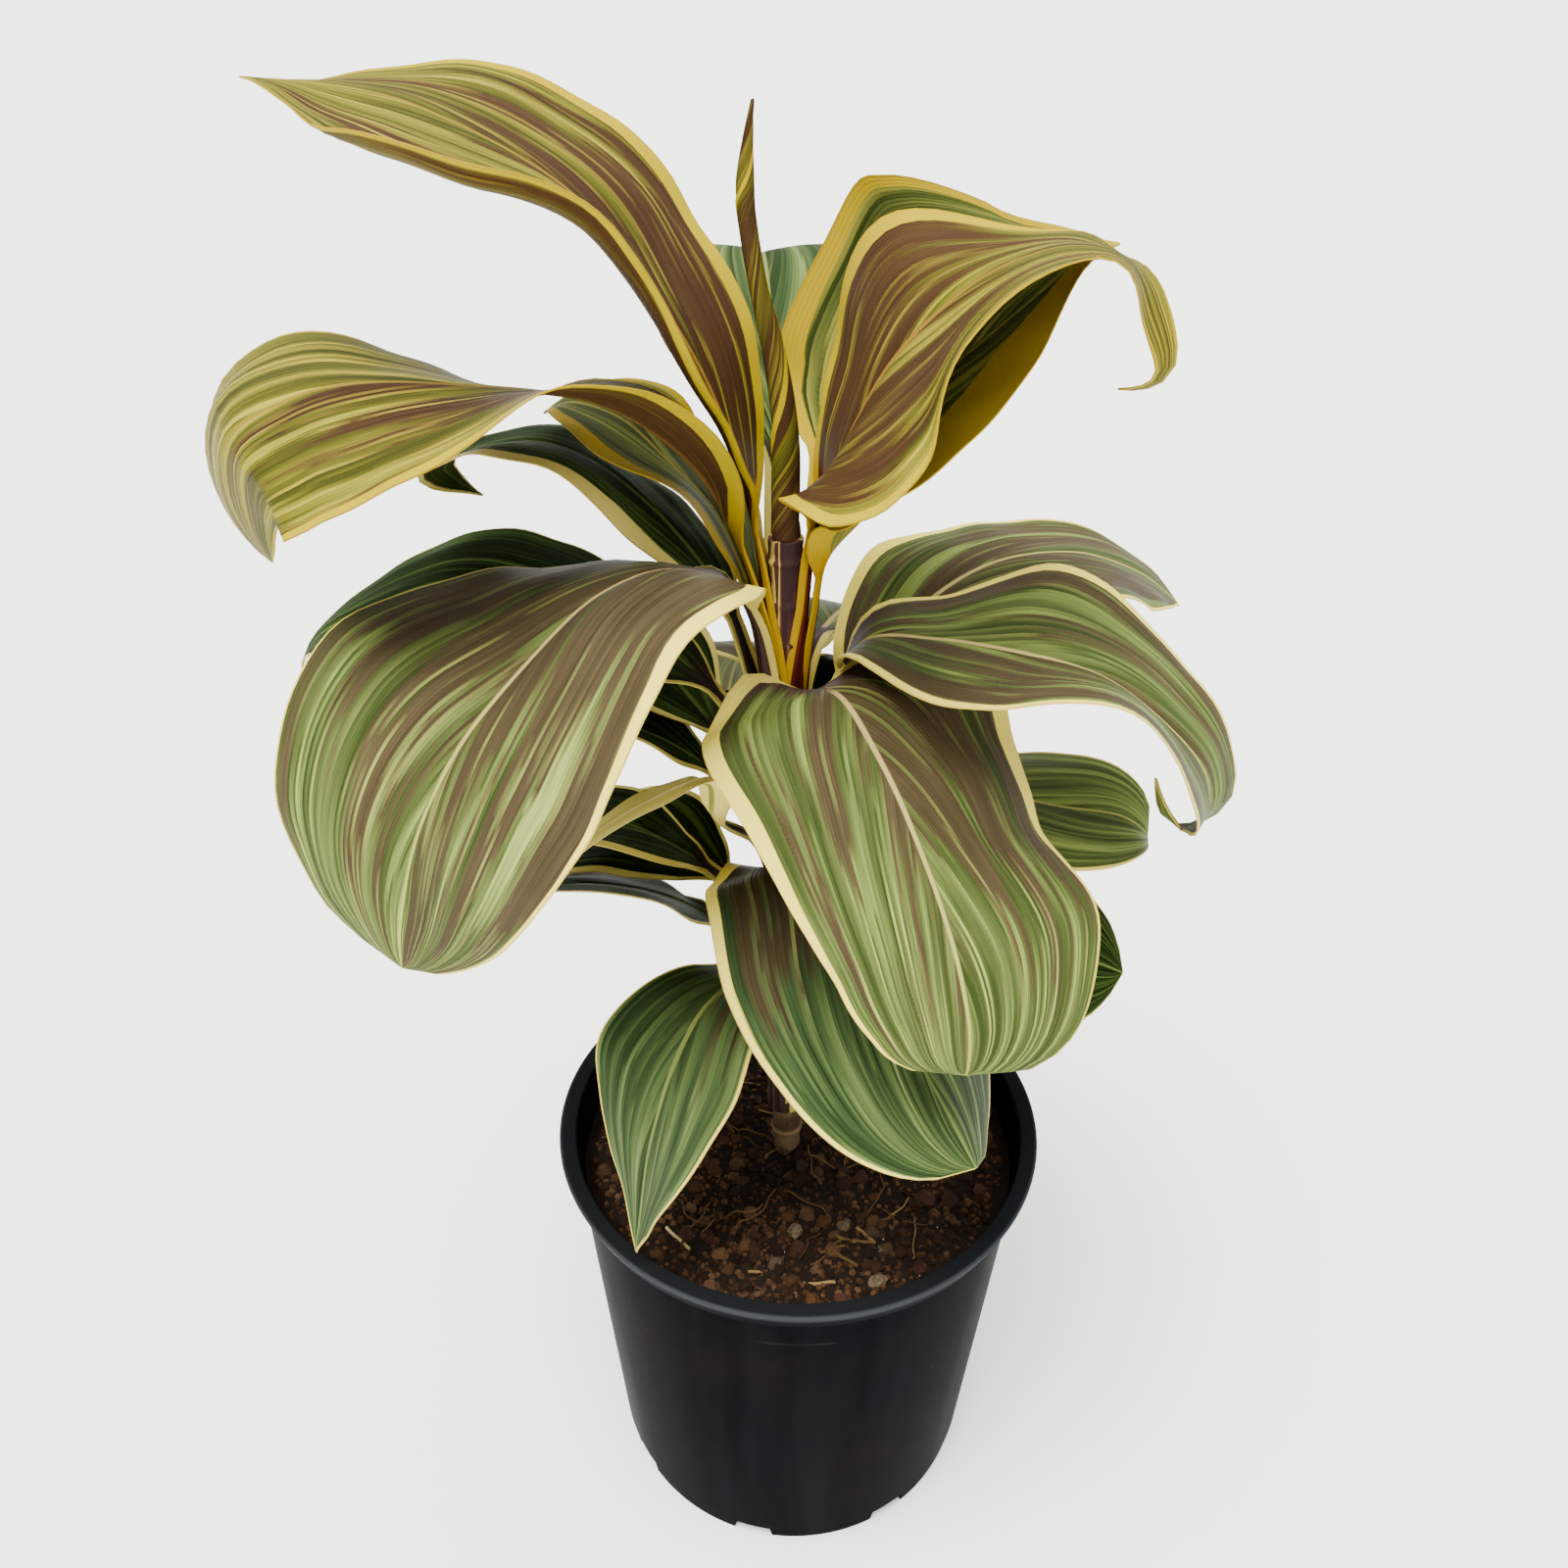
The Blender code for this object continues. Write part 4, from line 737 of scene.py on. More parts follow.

# How each leaf is coloured, along its length: the share of brown and of pale stripes, and the width of the
# pale margin of its right and its left half in millimetres, each from the stalk to the tip. kind is the
# leaf's age, and looks is its material where that differs from its kind's. A leaf that isn't named here has
# the plain colours of its kind.
leaf_colours = {
    "leaf_top_left": dict(kind="young", brown=[0.75, 0.62, 0.5, 0.25], pale=[0.35, 0.4, 0.5, 0.6],
                          right=[4, 8, 4, 1.5], left=[2.5, 3, 1.6, 1.2]),
    "leaf_top_right": dict(kind="young", brown=[0.8, 0.6, 0.45, 0.3], pale=[0.4, 0.45, 0.5, 0.55],
                           right=[9, 5, 1.6, 1.2], left=[4, 8, 1.4, 0.9]),
    # Its high share of pale streaks is partly its own colour and partly painted light shining through the
    # shaded leaf
    "leaf_top_right_behind": dict(kind="young", looks="opening", brown=[0.3, 0.25, 0.2, 0.2],
                                  pale=[0.6, 0.65, 0.6, 0.4], right=[10, 28, 26, 4], left=[6, 11, 5, 2]),
    "leaf_top_back": dict(kind="middle", looks="mature", brown=[0.3, 0.3, 0.3, 0.3], pale=[0, 0, 0, 0.1],
                          right=[1.5, 2, 1.5, 1.2], left=[1.5, 2, 1.5, 1.2]),
    "leaf_upper_left": dict(kind="young", brown=[0.8, 0.66, 0.4, 0.25], pale=[0.3, 0.4, 0.5, 0.55],
                            right=[2, 3, 2, 1.5], left=[9, 7, 2.5, 1.5]),
    "leaf_upper_left_behind": dict(kind="middle", looks="opening", brown=[0.2, 0.3, 0.3, 0.3],
                                   pale=[0.4, 0.4, 0.4, 0.4], right=[3, 3, 3, 2], left=[4, 9, 7, 3]),
    "leaf_curled_left": dict(kind="old", brown=[0.3, 0.25, 0.15, 0.1], pale=[0.2, 0.2, 0.2, 0.2],
                             right=[2, 1.2, 1, 1], left=[3, 9, 7, 1]),
    "leaf_dark_left": dict(kind="old", brown=[0.25, 0.2, 0.1, 0.1], pale=[0.15, 0.1, 0.1, 0.1],
                           right=[1.5, 0.8, 0.6, 0.6], left=[1.5, 1.2, 1, 1]),
    "leaf_broad_left": dict(kind="middle", brown=[0.92, 0.8, 0.48, 0.3], pale=[0.25, 0.3, 0.45, 0.52],
                            right=[1.5, 0.8, 0.6, 0.6], left=[9, 6, 1.5, 1.0]),
    "leaf_broad_front": dict(kind="middle", brown=[0.66, 0.62, 0.45, 0.3], pale=[0.25, 0.32, 0.42, 0.48],
                             right=[7, 5, 2.4, 1.6], left=[8, 8, 1.2, 1.0]),
    "leaf_arching_right": dict(kind="middle", brown=[0.6, 0.55, 0.45, 0.35], pale=[0.15, 0.2, 0.25, 0.4],
                               right=[4, 3, 2, 1.5], left=[3, 5, 2, 1.5]),
    "leaf_arching_right_behind": dict(kind="middle", brown=[0.55, 0.55, 0.5, 0.4], pale=[0, 0.05, 0.15, 0.3],
                                      right=[3, 3, 2, 1.5], left=[7, 7, 2, 1.5]),
    "leaf_low_front": dict(kind="old", looks="mature", brown=[0.7, 0.5, 0.15, 0], pale=[0.1, 0.2, 0.35, 0.35],
                           right=[6, 3.6, 1.8, 1.2], left=[2, 1.5, 1, 0.8]),
    "leaf_pot_left": dict(kind="old", looks="mature", brown=[0.25, 0.2, 0.1, 0], pale=[0, 0, 0, 0.1],
                          right=[1.2, 1.1, 1.0, 0.8], left=[1.4, 1.4, 1.0, 0.8]),
    "leaf_low_right": dict(kind="old", looks="middle", brown=[0.1, 0.05, 0, 0], pale=[0, 0, 0.1, 0.15],
                           right=[2, 2, 1.2, 0.8], left=[2, 2, 1.2, 1]),
    "leaf_lowest_right": dict(kind="old", brown=[0.1, 0.05, 0, 0], pale=[0.2, 0.3, 0.35, 0.4],
                              right=[2, 2, 1.2, 0.8], left=[2, 2, 1.5, 1]),
    "leaf_drooping_left": dict(kind="old", brown=[0.3, 0.2, 0.1, 0.1], pale=[0.3, 0.3, 0.3, 0.3],
                               right=[3, 16, 14, 4], left=[4, 28, 26, 8]),
    "leaf_middle_left": dict(kind="old", brown=[0.2, 0.1, 0.1, 0.1], pale=[0.2, 0.2, 0.25, 0.25],
                             right=[2, 5, 4, 1.5], left=[2.5, 5, 4, 2]),
    "leaf_low_left": dict(kind="old", brown=[0.2, 0.1, 0.1, 0.1], pale=[0.15, 0.15, 0.2, 0.25],
                          right=[2, 3, 2, 1.5], left=[2.5, 6, 5, 2]),
    "leaf_lowest_left": dict(kind="old", brown=[0.1, 0.1, 0, 0], pale=[0.2, 0.25, 0.25, 0.3],
                             right=[2, 2, 1.2, 1], left=[2, 2.5, 1.6, 1]),
}
plain_colours = {
    "middle": dict(kind="middle", brown=[0.5, 0.4, 0.25, 0.2], pale=[0.3, 0.35, 0.4, 0.45],
                   right=[2, 4, 2.5, 1.5], left=[2, 4, 2.5, 1.5]),
    "old": dict(kind="old", brown=[0.2, 0.12, 0.05, 0.0], pale=[0.2, 0.2, 0.25, 0.3],
                right=[2, 3.5, 2, 1.2], left=[2, 3.5, 2.2, 1.2]),
}

# How far down the cane a stalk's clasping foot reaches, and how far it winds round the cane on the way down
foot_reach = 58.0
stalk_windings = {"leaf_top_right": -62.0, "leaf_top_right_behind": -40.0, "leaf_upper_left": 40.0,
                  "leaf_top_left": 68.0}
# How near the cane the foot lies at its end and half way, and how much of its winding it has there
foot_end = (0.9, 1.0)
foot_middle = (0.4, 0.55)
# The part of the blade, from the stalk, over which the leaf's right and left half widen evenly
base_tapers = {"leaf_top_right": (0.15, 0.0), "leaf_top_right_behind": (0.36, 0.3)}
stalk_half_widths = {"foot": 8.6, "root": 8.0, "neck": 4.6}
stalk_thickness = 1.5
stalk_margin = 2.4
blade_thickness = 0.7
tip_half_width = 0.8
stalk_fold = 3.0
clasp_limit = 1.1
winding_end = 8.0
# Shares of the blade over which it opens from its stalk, over which its waves fade to the tip, and between
# which its veins leave the midrib's bundle, with the share of the half width that the bundle holds at most
opening_share = 0.12
tip_fade_share = 0.08
bundle_start, bundle_end, bundle_share = 0.02, 0.9, 0.62
groove_depth, groove_width, groove_fall = 0.75, 1.5, 0.75
keel_depth, keel_width, keel_groove_share = 1.3, 1.6, 0.3
margin_thinning = 0.35
# The margin's waves: their length and height, and how far each leaf and each side shifts them
margin_waves = ((41.0, 0.55, 1.0, 2.1), (23.0, 0.2, 2.7, -1.3))
margin_wave_power = 2.2
pucker_length, pucker_width, pucker_height = 34.0, 16.0, 1.1
pucker_draw, streak_draw = 3.7, 17.0
leaf_rows = 76
half_steps = 40
path_steps = 500
knot_spacing_power = 0.75
# Where a leaf is divided from its midrib to its margin: close by the midrib's groove and by the margin
half_columns = [0, 0.018, 0.045, 0.09, 0.15, 0.23, 0.32, 0.41, 0.5, 0.59, 0.68, 0.76, 0.84, 0.9, 0.95, 0.98,
                1.0]
columns = np.array([-c for c in half_columns[:0:-1]] + half_columns)


def smooth(knots, values, t):
    """A smooth curve through the values at the knots, read at t."""
    knots, values = np.asarray(knots, float), np.asarray(values, float)
    single = values.ndim == 1
    if single:
        values = values[:, None]
    slopes = np.gradient(values, knots, axis=0, edge_order=2)
    t = np.clip(np.asarray(t, float), knots[0], knots[-1])
    k = np.clip(np.searchsorted(knots, t, side="right") - 1, 0, len(knots) - 2)
    h = (knots[k + 1] - knots[k])[:, None]
    x = (t - knots[k])[:, None] / h
    read = ((2 * x**3 - 3 * x**2 + 1) * values[k] + (x**3 - 2 * x**2 + x) * h * slopes[k]
            + (3 * x**2 - 2 * x**3) * values[k + 1] + (x**3 - x**2) * h * slopes[k + 1])
    return read[:, 0] if single else read


def blade_half_width(leaf, b):
    """Half the width at b along the blade, which is 0 where the stalk ends and 1 at the tip."""
    widest = leaf.get("widest", 0.42)
    rise = np.sin(pi / 2 * np.clip(b / widest, 0, 1)) ** leaf.get("base", 0.85)
    t = np.clip((b - widest) / (1 - widest), 0, 1)
    fall = (1 - t**2.1) ** leaf.get("point", 1.0)
    near = np.hypot(leaf["width"] / 2 * rise, stalk_half_widths["neck"] * (1 - b))
    far = np.hypot(leaf["width"] / 2 * fall, leaf.get("tail", 0.0) / 2 * t * np.sqrt(1 - t**6))
    return np.maximum(np.where(b < widest, near, far), tip_half_width)


def leaf_surface(name, leaf):
    """The leaf's middle surface, from its foot on the cane to the tip and from its right margin to its left,
    with what the stripes need: the run along the midrib from the cane, the place along the blade, how far the
    blade is open, and the half widths of both sides."""
    azimuth, winding = radians(leaf["azimuth"]), radians(stalk_windings.get(name, 0.0))
    root_out, root_height = leaf["rib"][0]
    root = cane_at(root_height) * (1, 1, 0)
    shape = [(root_out - foot_end[0], root_height - foot_reach, foot_end[1]),
             (root_out - foot_middle[0], root_height - foot_reach / 2, foot_middle[1])]
    shape += [(out, height, 0.0) for out, height in leaf["rib"]]
    bearings = [azimuth + winding * wound for _, _, wound in shape]
    rib = np.array([root + (out * cos(bearing), out * sin(bearing), height)
                    for (out, height, _), bearing in zip(shape, bearings)])
    chord = np.cumsum(np.linalg.norm(np.diff(rib, axis=0), axis=1) ** knot_spacing_power)
    chord = np.concatenate([[0], chord])
    knots = chord / chord[-1]
    fine = np.linspace(0, 1, path_steps)
    path = smooth(knots, rib, fine)
    run = np.concatenate([[0], np.cumsum(np.linalg.norm(np.diff(path, axis=0), axis=1))])
    foot = np.interp(knots[2], fine, run)
    reached = np.linspace(0, 1, leaf_rows + 1) * run[-1]
    t = np.interp(reached, run, fine)
    s = reached - foot
    centre = smooth(knots, rib, t)
    wound = smooth(knots[:3], [foot_end[1], foot_middle[1], 0.0], np.minimum(t, knots[2]))
    wound *= np.clip(-s / winding_end, 0, 1)
    turn = azimuth + winding * wound
    leftward = np.stack([-np.sin(turn), np.cos(turn), np.zeros_like(turn)], -1)
    ahead = smooth(knots, rib, np.minimum(t + 1e-3, 1)) - smooth(knots, rib, np.maximum(t - 1e-3, 0))
    ahead /= np.linalg.norm(ahead, axis=1)[:, None]
    side = leftward - (ahead * leftward).sum(1)[:, None] * ahead
    side /= np.linalg.norm(side, axis=1)[:, None]
    up = np.cross(ahead, side)

    def along(key, default):
        values = np.broadcast_to(np.asarray(leaf.get(key, default), float), knots[2:].shape)
        return smooth(knots, np.concatenate([values[:1], values[:1], values]), t)

    def turned(key, which, default):
        own = key + which
        return np.radians(along(own, default) if own in leaf else along(key, default))

    b = np.clip((s - leaf["stalk"]) / (run[-1] - foot - leaf["stalk"]), 0, 1)
    opened = np.clip(b / opening_share, 0, 1)
    opened = opened**2 * (3 - 2 * opened)
    roll = np.radians(along("roll", 0.0)) * opened
    side, up = (np.cos(roll)[:, None] * side + np.sin(roll)[:, None] * up,
                np.cos(roll)[:, None] * up - np.sin(roll)[:, None] * side)
    stalk_half = np.interp(s, (-foot_reach, 0, leaf["stalk"]), list(stalk_half_widths.values()))
    half = np.where(b <= 0, stalk_half, blade_half_width(leaf, b))
    axis = np.array([cane_at(z) for z in centre[:, 2]])
    # the stalk wraps round the cane
    clasp = np.minimum(half / np.hypot(*(centre - axis)[:, :2].T), clasp_limit)
    steps = np.linspace(0, 1, half_steps + 1)
    points = np.zeros((leaf_rows + 1, len(columns), 3))
    halves = np.zeros((leaf_rows + 1, len(columns)))
    tapers = base_tapers.get(name, (0.0, 0.0))
    for sign, which, taper in ((-1, "_right", tapers[0]), (1, "_left", tapers[1])):
        fold = turned("fold", which, 10.0) * opened + radians(stalk_fold) * (1 - opened)
        curl = turned("curl", which, 0.0) * opened + clasp * (1 - opened)
        edge = turned("edge", which, 0.0) * opened
        reach_out = half * (1 + (along("share" + which, 1.0) - 1) * opened)
        if taper:
            reach_out = np.minimum(reach_out, stalk_half_widths["neck"] + leaf["width"] / 2 * b / taper)
        angle = fold[:, None] + curl[:, None] * steps + edge[:, None] * steps**4
        middle = (angle[:, 1:] + angle[:, :-1]) / 2
        start = np.zeros((leaf_rows + 1, 1))
        across, lift = (np.hstack([start, np.cumsum(part(middle), axis=1)]) / half_steps * reach_out[:, None]
                        for part in (np.cos, np.sin))
        for j, q in enumerate(columns):
            if q * sign < 0 or (q == 0 and sign < 0):
                continue
            x, y = (np.array([np.interp(abs(q), steps, row) for row in rows])[:, None]
                    for rows in (across, lift))
            points[:, j] = centre + sign * x * side + y * up
            halves[:, j] = reach_out
    return points, s, b, opened, halves


def surface_normals(points):
    """The upward normal at each point of a grid."""
    normals = np.cross(np.gradient(points, axis=0), np.gradient(points, axis=1))
    return normals / np.maximum(np.linalg.norm(normals, axis=2), 1e-9)[:, :, None]


def paint(thing, name, kind, values):
    """Stores values on the mesh's points for its material to read."""
    layer = thing.data.attributes.new(name, kind, "POINT")
    layer.data.foreach_set("value" if kind == "FLOAT" else "vector",
                           np.ascontiguousarray(values, np.float32).ravel())


def closed_sheet(name, points, over, under, smooth_angle=70.0):
    """A closed sheet round a grid of points, lying over and under it by amounts along its normals."""
    normals = surface_normals(points)
    rows, across = points.shape[:2]
    both = np.concatenate([(points + normals * over[..., None]).reshape(-1, 3),
                           (points - normals * under[..., None]).reshape(-1, 3)])
    count = rows * across
    faces = []
    for i in range(rows - 1):
        for j in range(across - 1):
            a, b, c, d = i * across + j, i * across + j + 1, (i + 1) * across + j + 1, (i + 1) * across + j
            faces.append((a, b, c, d))
            faces.append((count + d, count + c, count + b, count + a))
    border = ([(0, j) for j in range(across)] + [(i, across - 1) for i in range(1, rows)]
              + [(rows - 1, j) for j in range(across - 2, -1, -1)] + [(i, 0) for i in range(rows - 2, 0, -1)])
    loop = [i * across + j for i, j in border]
    faces += [(b, a, count + a, count + b) for a, b in zip(loop, loop[1:] + loop[:1])]
    return place(name, both, faces, smooth_angle)


def finish_leaf(leaf, node, looks):
    """Gives a leaf its material and its place in the frame."""
    leaf.data.materials.append(leaf_materials[looks])
    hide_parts(node)
    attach(leaf, "root")


def grow_leaf(name, leaf, colours, draw):
    """One leaf: its sheet with a grooved midrib and a wavy margin, and the values that its stripes follow.
    draw is the leaf's own number, which gives it waves, puckers and streaks of its own."""
    points, s, b, opened, halves = leaf_surface(name, leaf)
    grid = halves.shape
    s_row, b_row, open_row = s[:, None], b[:, None], opened[:, None]
    v = columns[None, :]
    side_mm = np.abs(v) * halves
    ripple = sum(np.sin(2 * pi * s_row / length + by_leaf * draw + by_side * np.sign(v)) * height
                 for length, height, by_leaf, by_side in margin_waves) * np.abs(v) ** margin_wave_power
    pucker = np.array([[noise.noise(Vector((x / pucker_length, y / pucker_width, draw * pucker_draw)))
                        for x, y in zip(row_s, row_v)]
                       for row_s, row_v in zip(np.broadcast_to(s_row, grid), v * halves)])
    fade = np.clip((1 - b_row) / tip_fade_share, 0, 1) * open_row
    points = points + surface_normals(points) * ((ripple + pucker_height * pucker) * fade)[..., None]
    groove = groove_depth * np.exp(-(side_mm / groove_width) ** 2) * (1 - groove_fall * b_row) * open_row
    keel = keel_depth * np.exp(-(side_mm / keel_width) ** 2) * (1 - b_row) ** 1.5 * open_row
    body = stalk_thickness + (blade_thickness - stalk_thickness) * open_row
    body = body * (1 - margin_thinning * np.abs(v) ** 3)
    sheet = closed_sheet(name, points, body / 2 - groove, body / 2 + keel + groove * keel_groove_share)

    # lane is a stripe's distance from the midrib, its run along the leaf, and the leaf's own number. tone is
    # the shares of brown and pale, and how far the blade is open. edges is how far a point lies past the
    # margin's band, from the midrib and from the margin.
    bundle = (bundle_share * np.clip(1 - b_row / bundle_end, 0, 1) ** 1.2
              * np.clip(b_row / bundle_start, 0, 1))
    share = bundle + (1 - bundle) * np.abs(v)
    lane = np.where(b_row <= 0, v * halves, np.sign(v) * share * leaf["width"] / 2)
    quarter = np.linspace(0, 1, 4)
    brown, pale, right, left = (np.interp(b, quarter, colours[key])[:, None]
                                for key in ("brown", "pale", "right", "left"))
    width = np.where(b_row <= 0, stalk_margin, np.where(v < 0, right, left))
    from_margin = (1 - np.abs(v)) * halves
    for label, parts in (("lane", (lane, s_row, streak_draw * draw)), ("tone", (brown, pale, open_row)),
                         ("edges", (from_margin - width, side_mm, from_margin))):
        upper = np.stack([np.broadcast_to(part, grid) for part in parts], -1).reshape(-1, 3)
        paint(sheet, label, "FLOAT_VECTOR", np.concatenate([upper, upper]))
    paint(sheet, "under", "FLOAT", np.repeat([0.0, 1.0], lane.size))
    paint(sheet, "reach", "FLOAT", np.tile(np.broadcast_to(b_row, grid).ravel(), 2))
    finish_leaf(sheet, name, colours.get("looks", colours["kind"]))


def weigh(tree, start, *terms):
    """A start plus each value times its weight."""
    for value, weight in terms:
        start = add(tree, "ShaderNodeMath", {0: value, 1: weight, 2: start}, operation="MULTIPLY_ADD")
    return start


vein_spacing = 1.1
vein_sway = 2.2
streak_stagger = 46.0
rib_line_widths = (1.25, 0.5)


def striped_leaf(name, brown, greens, pale, margin, stalk, under, rib, roughness, wax):
    """Living leaf: stripes that follow the veins, a pale margin, a grooved midrib, and a duller underside."""
    made, tree, shader = blank_material(name)
    read = {label: add(tree, "ShaderNodeAttribute", attribute_name=label).outputs
            for label in ("lane", "tone", "edges", "under", "reach")}
    lane, below, reach = read["lane"]["Vector"], read["under"]["Fac"], read["reach"]["Fac"]
    across, run, own_leaf = add(tree, "ShaderNodeSeparateXYZ", {0: lane}).outputs
    brown_share, pale_share, opened = add(tree, "ShaderNodeSeparateXYZ", {0: read["tone"]["Vector"]}).outputs
    past_band, from_rib, from_edge = add(tree, "ShaderNodeSeparateXYZ", {0: read["edges"]["Vector"]}).outputs

    # The strip between two veins is about 1.1 mm wide. It keeps one colour for a long way, and each strip
    # ends its colour at a place of its own, so that the stripes run out in streaks.
    swayed = weigh(tree, across, (mottle(tree, lane, (16.667, 71.429, 1.0), 1.0, 0.6), vein_sway))
    strip = add(tree, "ShaderNodeMath", {0: swayed, 1: vein_spacing}, operation="SNAP")
    strip_of_leaf = add(tree, "ShaderNodeCombineXYZ", {0: strip, 1: own_leaf})
    own = add(tree, "ShaderNodeTexWhiteNoise", {"Vector": strip_of_leaf}).outputs["Value"]
    shifted = weigh(tree, run, (own, streak_stagger))
    line = add(tree, "ShaderNodeCombineXYZ", {0: strip, 1: shifted, 2: own_leaf})
    broad = mottle(tree, line, (11.765, 181.82, 1.0), 2.0, 0.6)
    middling = mottle(tree, line, (4.7619, 125.0, 1.0), 1.5, 0.6, (31.0, 7.0, 5.0))
    thin = mottle(tree, line, (1.6667, 83.333, 1.0), 1.0, 0.6, (11.0, 3.0, 9.0))
    hair = mottle(tree, line, (0.32258, 62.5, 1.0), 1.0, 0.6, (3.0, 17.0, 4.0))
    cloud = mottle(tree, lane, (22.222, 50.0, 1.0), 3.0, 0.6, (5.0, 9.0, 2.0))

    # Green ground in its tones, then brown over it, then pale streaks over both
    ground = add(tree, "ShaderNodeMapRange", {
        "Value": weigh(tree, 0.0, (middling, 0.8), (thin, 0.6)), "From Min": 0.5, "From Max": 0.9})
    green = add(tree, "ShaderNodeValToRGB", {"Fac": ground}, stops=tuple(zip((0.05, 0.4, 0.7, 1.0), greens)))
    lined_green = coat(tree, green, greens[0], hair, 0.42, 0.36, 0.75)
    brown_tone = add(tree, "ShaderNodeValToRGB", {"Fac": weigh(tree, -0.02, (hair, 0.7), (cloud, 0.35))},
                     stops=tuple(zip((0.25, 0.5, 0.78), brown)))
    lined_brown = coat(tree, brown_tone, greens[2], hair, 0.6, 0.66, 0.6)
    brown_at = weigh(tree, broad, (thin, 0.3), (brown_share, 0.55))
    striped = coat(tree, lined_green, lined_brown, brown_at, 0.9, 0.95)
    pale_at = weigh(tree, 0.0, (middling, 0.25), (thin, 0.95), (pale_share, 0.42))
    streaked = coat(tree, striped, pale, pale_at, 0.88, 1.04, 0.75)
    # Each vein shows as a faint darker line
    phase = weigh(tree, 0.0, (swayed, 2 * pi / vein_spacing))
    wave = add(tree, "ShaderNodeMath", {0: phase}, operation="SINE")
    veined = coat(tree, streaked, "#b9b3a8", wave, 0.2, 1.0, 0.3, "MULTIPLY")
    # Margin: its inner border runs out along the strips, and it is darker at its very edge
    band = add(tree, "ShaderNodeMix", {0: cloud, 6: margin[0], 7: margin[1]}, data_type="RGBA")
    bordered = coat(tree, band, veined, weigh(tree, past_band, (thin, 2.6)), 1.1, 1.4)
    edged = coat(tree, bordered, margin[2], from_edge, 0.55, 0.15, 0.6)
    # Midrib: a line in the groove that narrows and turns from its base colour to its tip colour
    rib_width = add(tree, "ShaderNodeMapRange", {
        "Value": reach, "To Min": rib_line_widths[0], "To Max": rib_line_widths[1]})
    past_rib = add(tree, "ShaderNodeMath", {0: from_rib, 1: rib_width}, operation="SUBTRACT")
    rib_line = add(tree, "ShaderNodeMapRange", {
        "Value": past_rib, "From Min": 0.15, "From Max": -0.35, "To Max": 0.85})
    rib_share = add(tree, "ShaderNodeMath", {0: rib_line, 1: opened}, operation="MULTIPLY")
    rib_colour = add(tree, "ShaderNodeMix", {0: reach, 6: rib[0], 7: rib[1]}, data_type="RGBA")
    ribbed = add(tree, "ShaderNodeMix", {0: rib_share, 6: edged, 7: rib_colour}, data_type="RGBA")
    # Stalk: dark along its middle and pale by its edges
    stalk_middle = coat(tree, stalk[0], stalk[2], thin, 0.5, 0.62)
    stalk_tone = coat(tree, stalk[1], stalk_middle, weigh(tree, past_band, (thin, 2.0)), 0.8, 1.1)
    blade_share = add(tree, "ShaderNodeClamp", {0: weigh(tree, -0.75, (own, 0.7), (opened, 1.8))})
    grown = add(tree, "ShaderNodeMix", {0: blade_share, 6: stalk_tone, 7: ribbed}, data_type="RGBA")
    # Underside: duller inside its margin
    inside = add(tree, "ShaderNodeMapRange", {"Value": past_band, "From Max": 0.4, "To Max": 0.62})
    dulled = add(tree, "ShaderNodeMath", {0: below, 1: inside}, operation="MULTIPLY")
    under_share = add(tree, "ShaderNodeMath", {0: dulled, 1: opened}, operation="MULTIPLY")
    turned = add(tree, "ShaderNodeMix", {0: under_share, 6: grown, 7: under}, data_type="RGBA")
    # The veins stand up a little
    raised = weigh(tree, thin, (wave, 0.35))
    bump = add(tree, "ShaderNodeBump", {"Strength": 0.4, "Distance": 0.0003, "Height": raised})
    gloss = add(tree, "ShaderNodeMapRange", {"Value": below, "To Min": roughness, "To Max": 0.6})
    wire(tree, shader, {"Base Color": turned, "Normal": bump, "Roughness": gloss, "IOR": 1.42,
                        "Specular IOR Level": wax, "Specular Tint": "#fff4c8"})
    return made


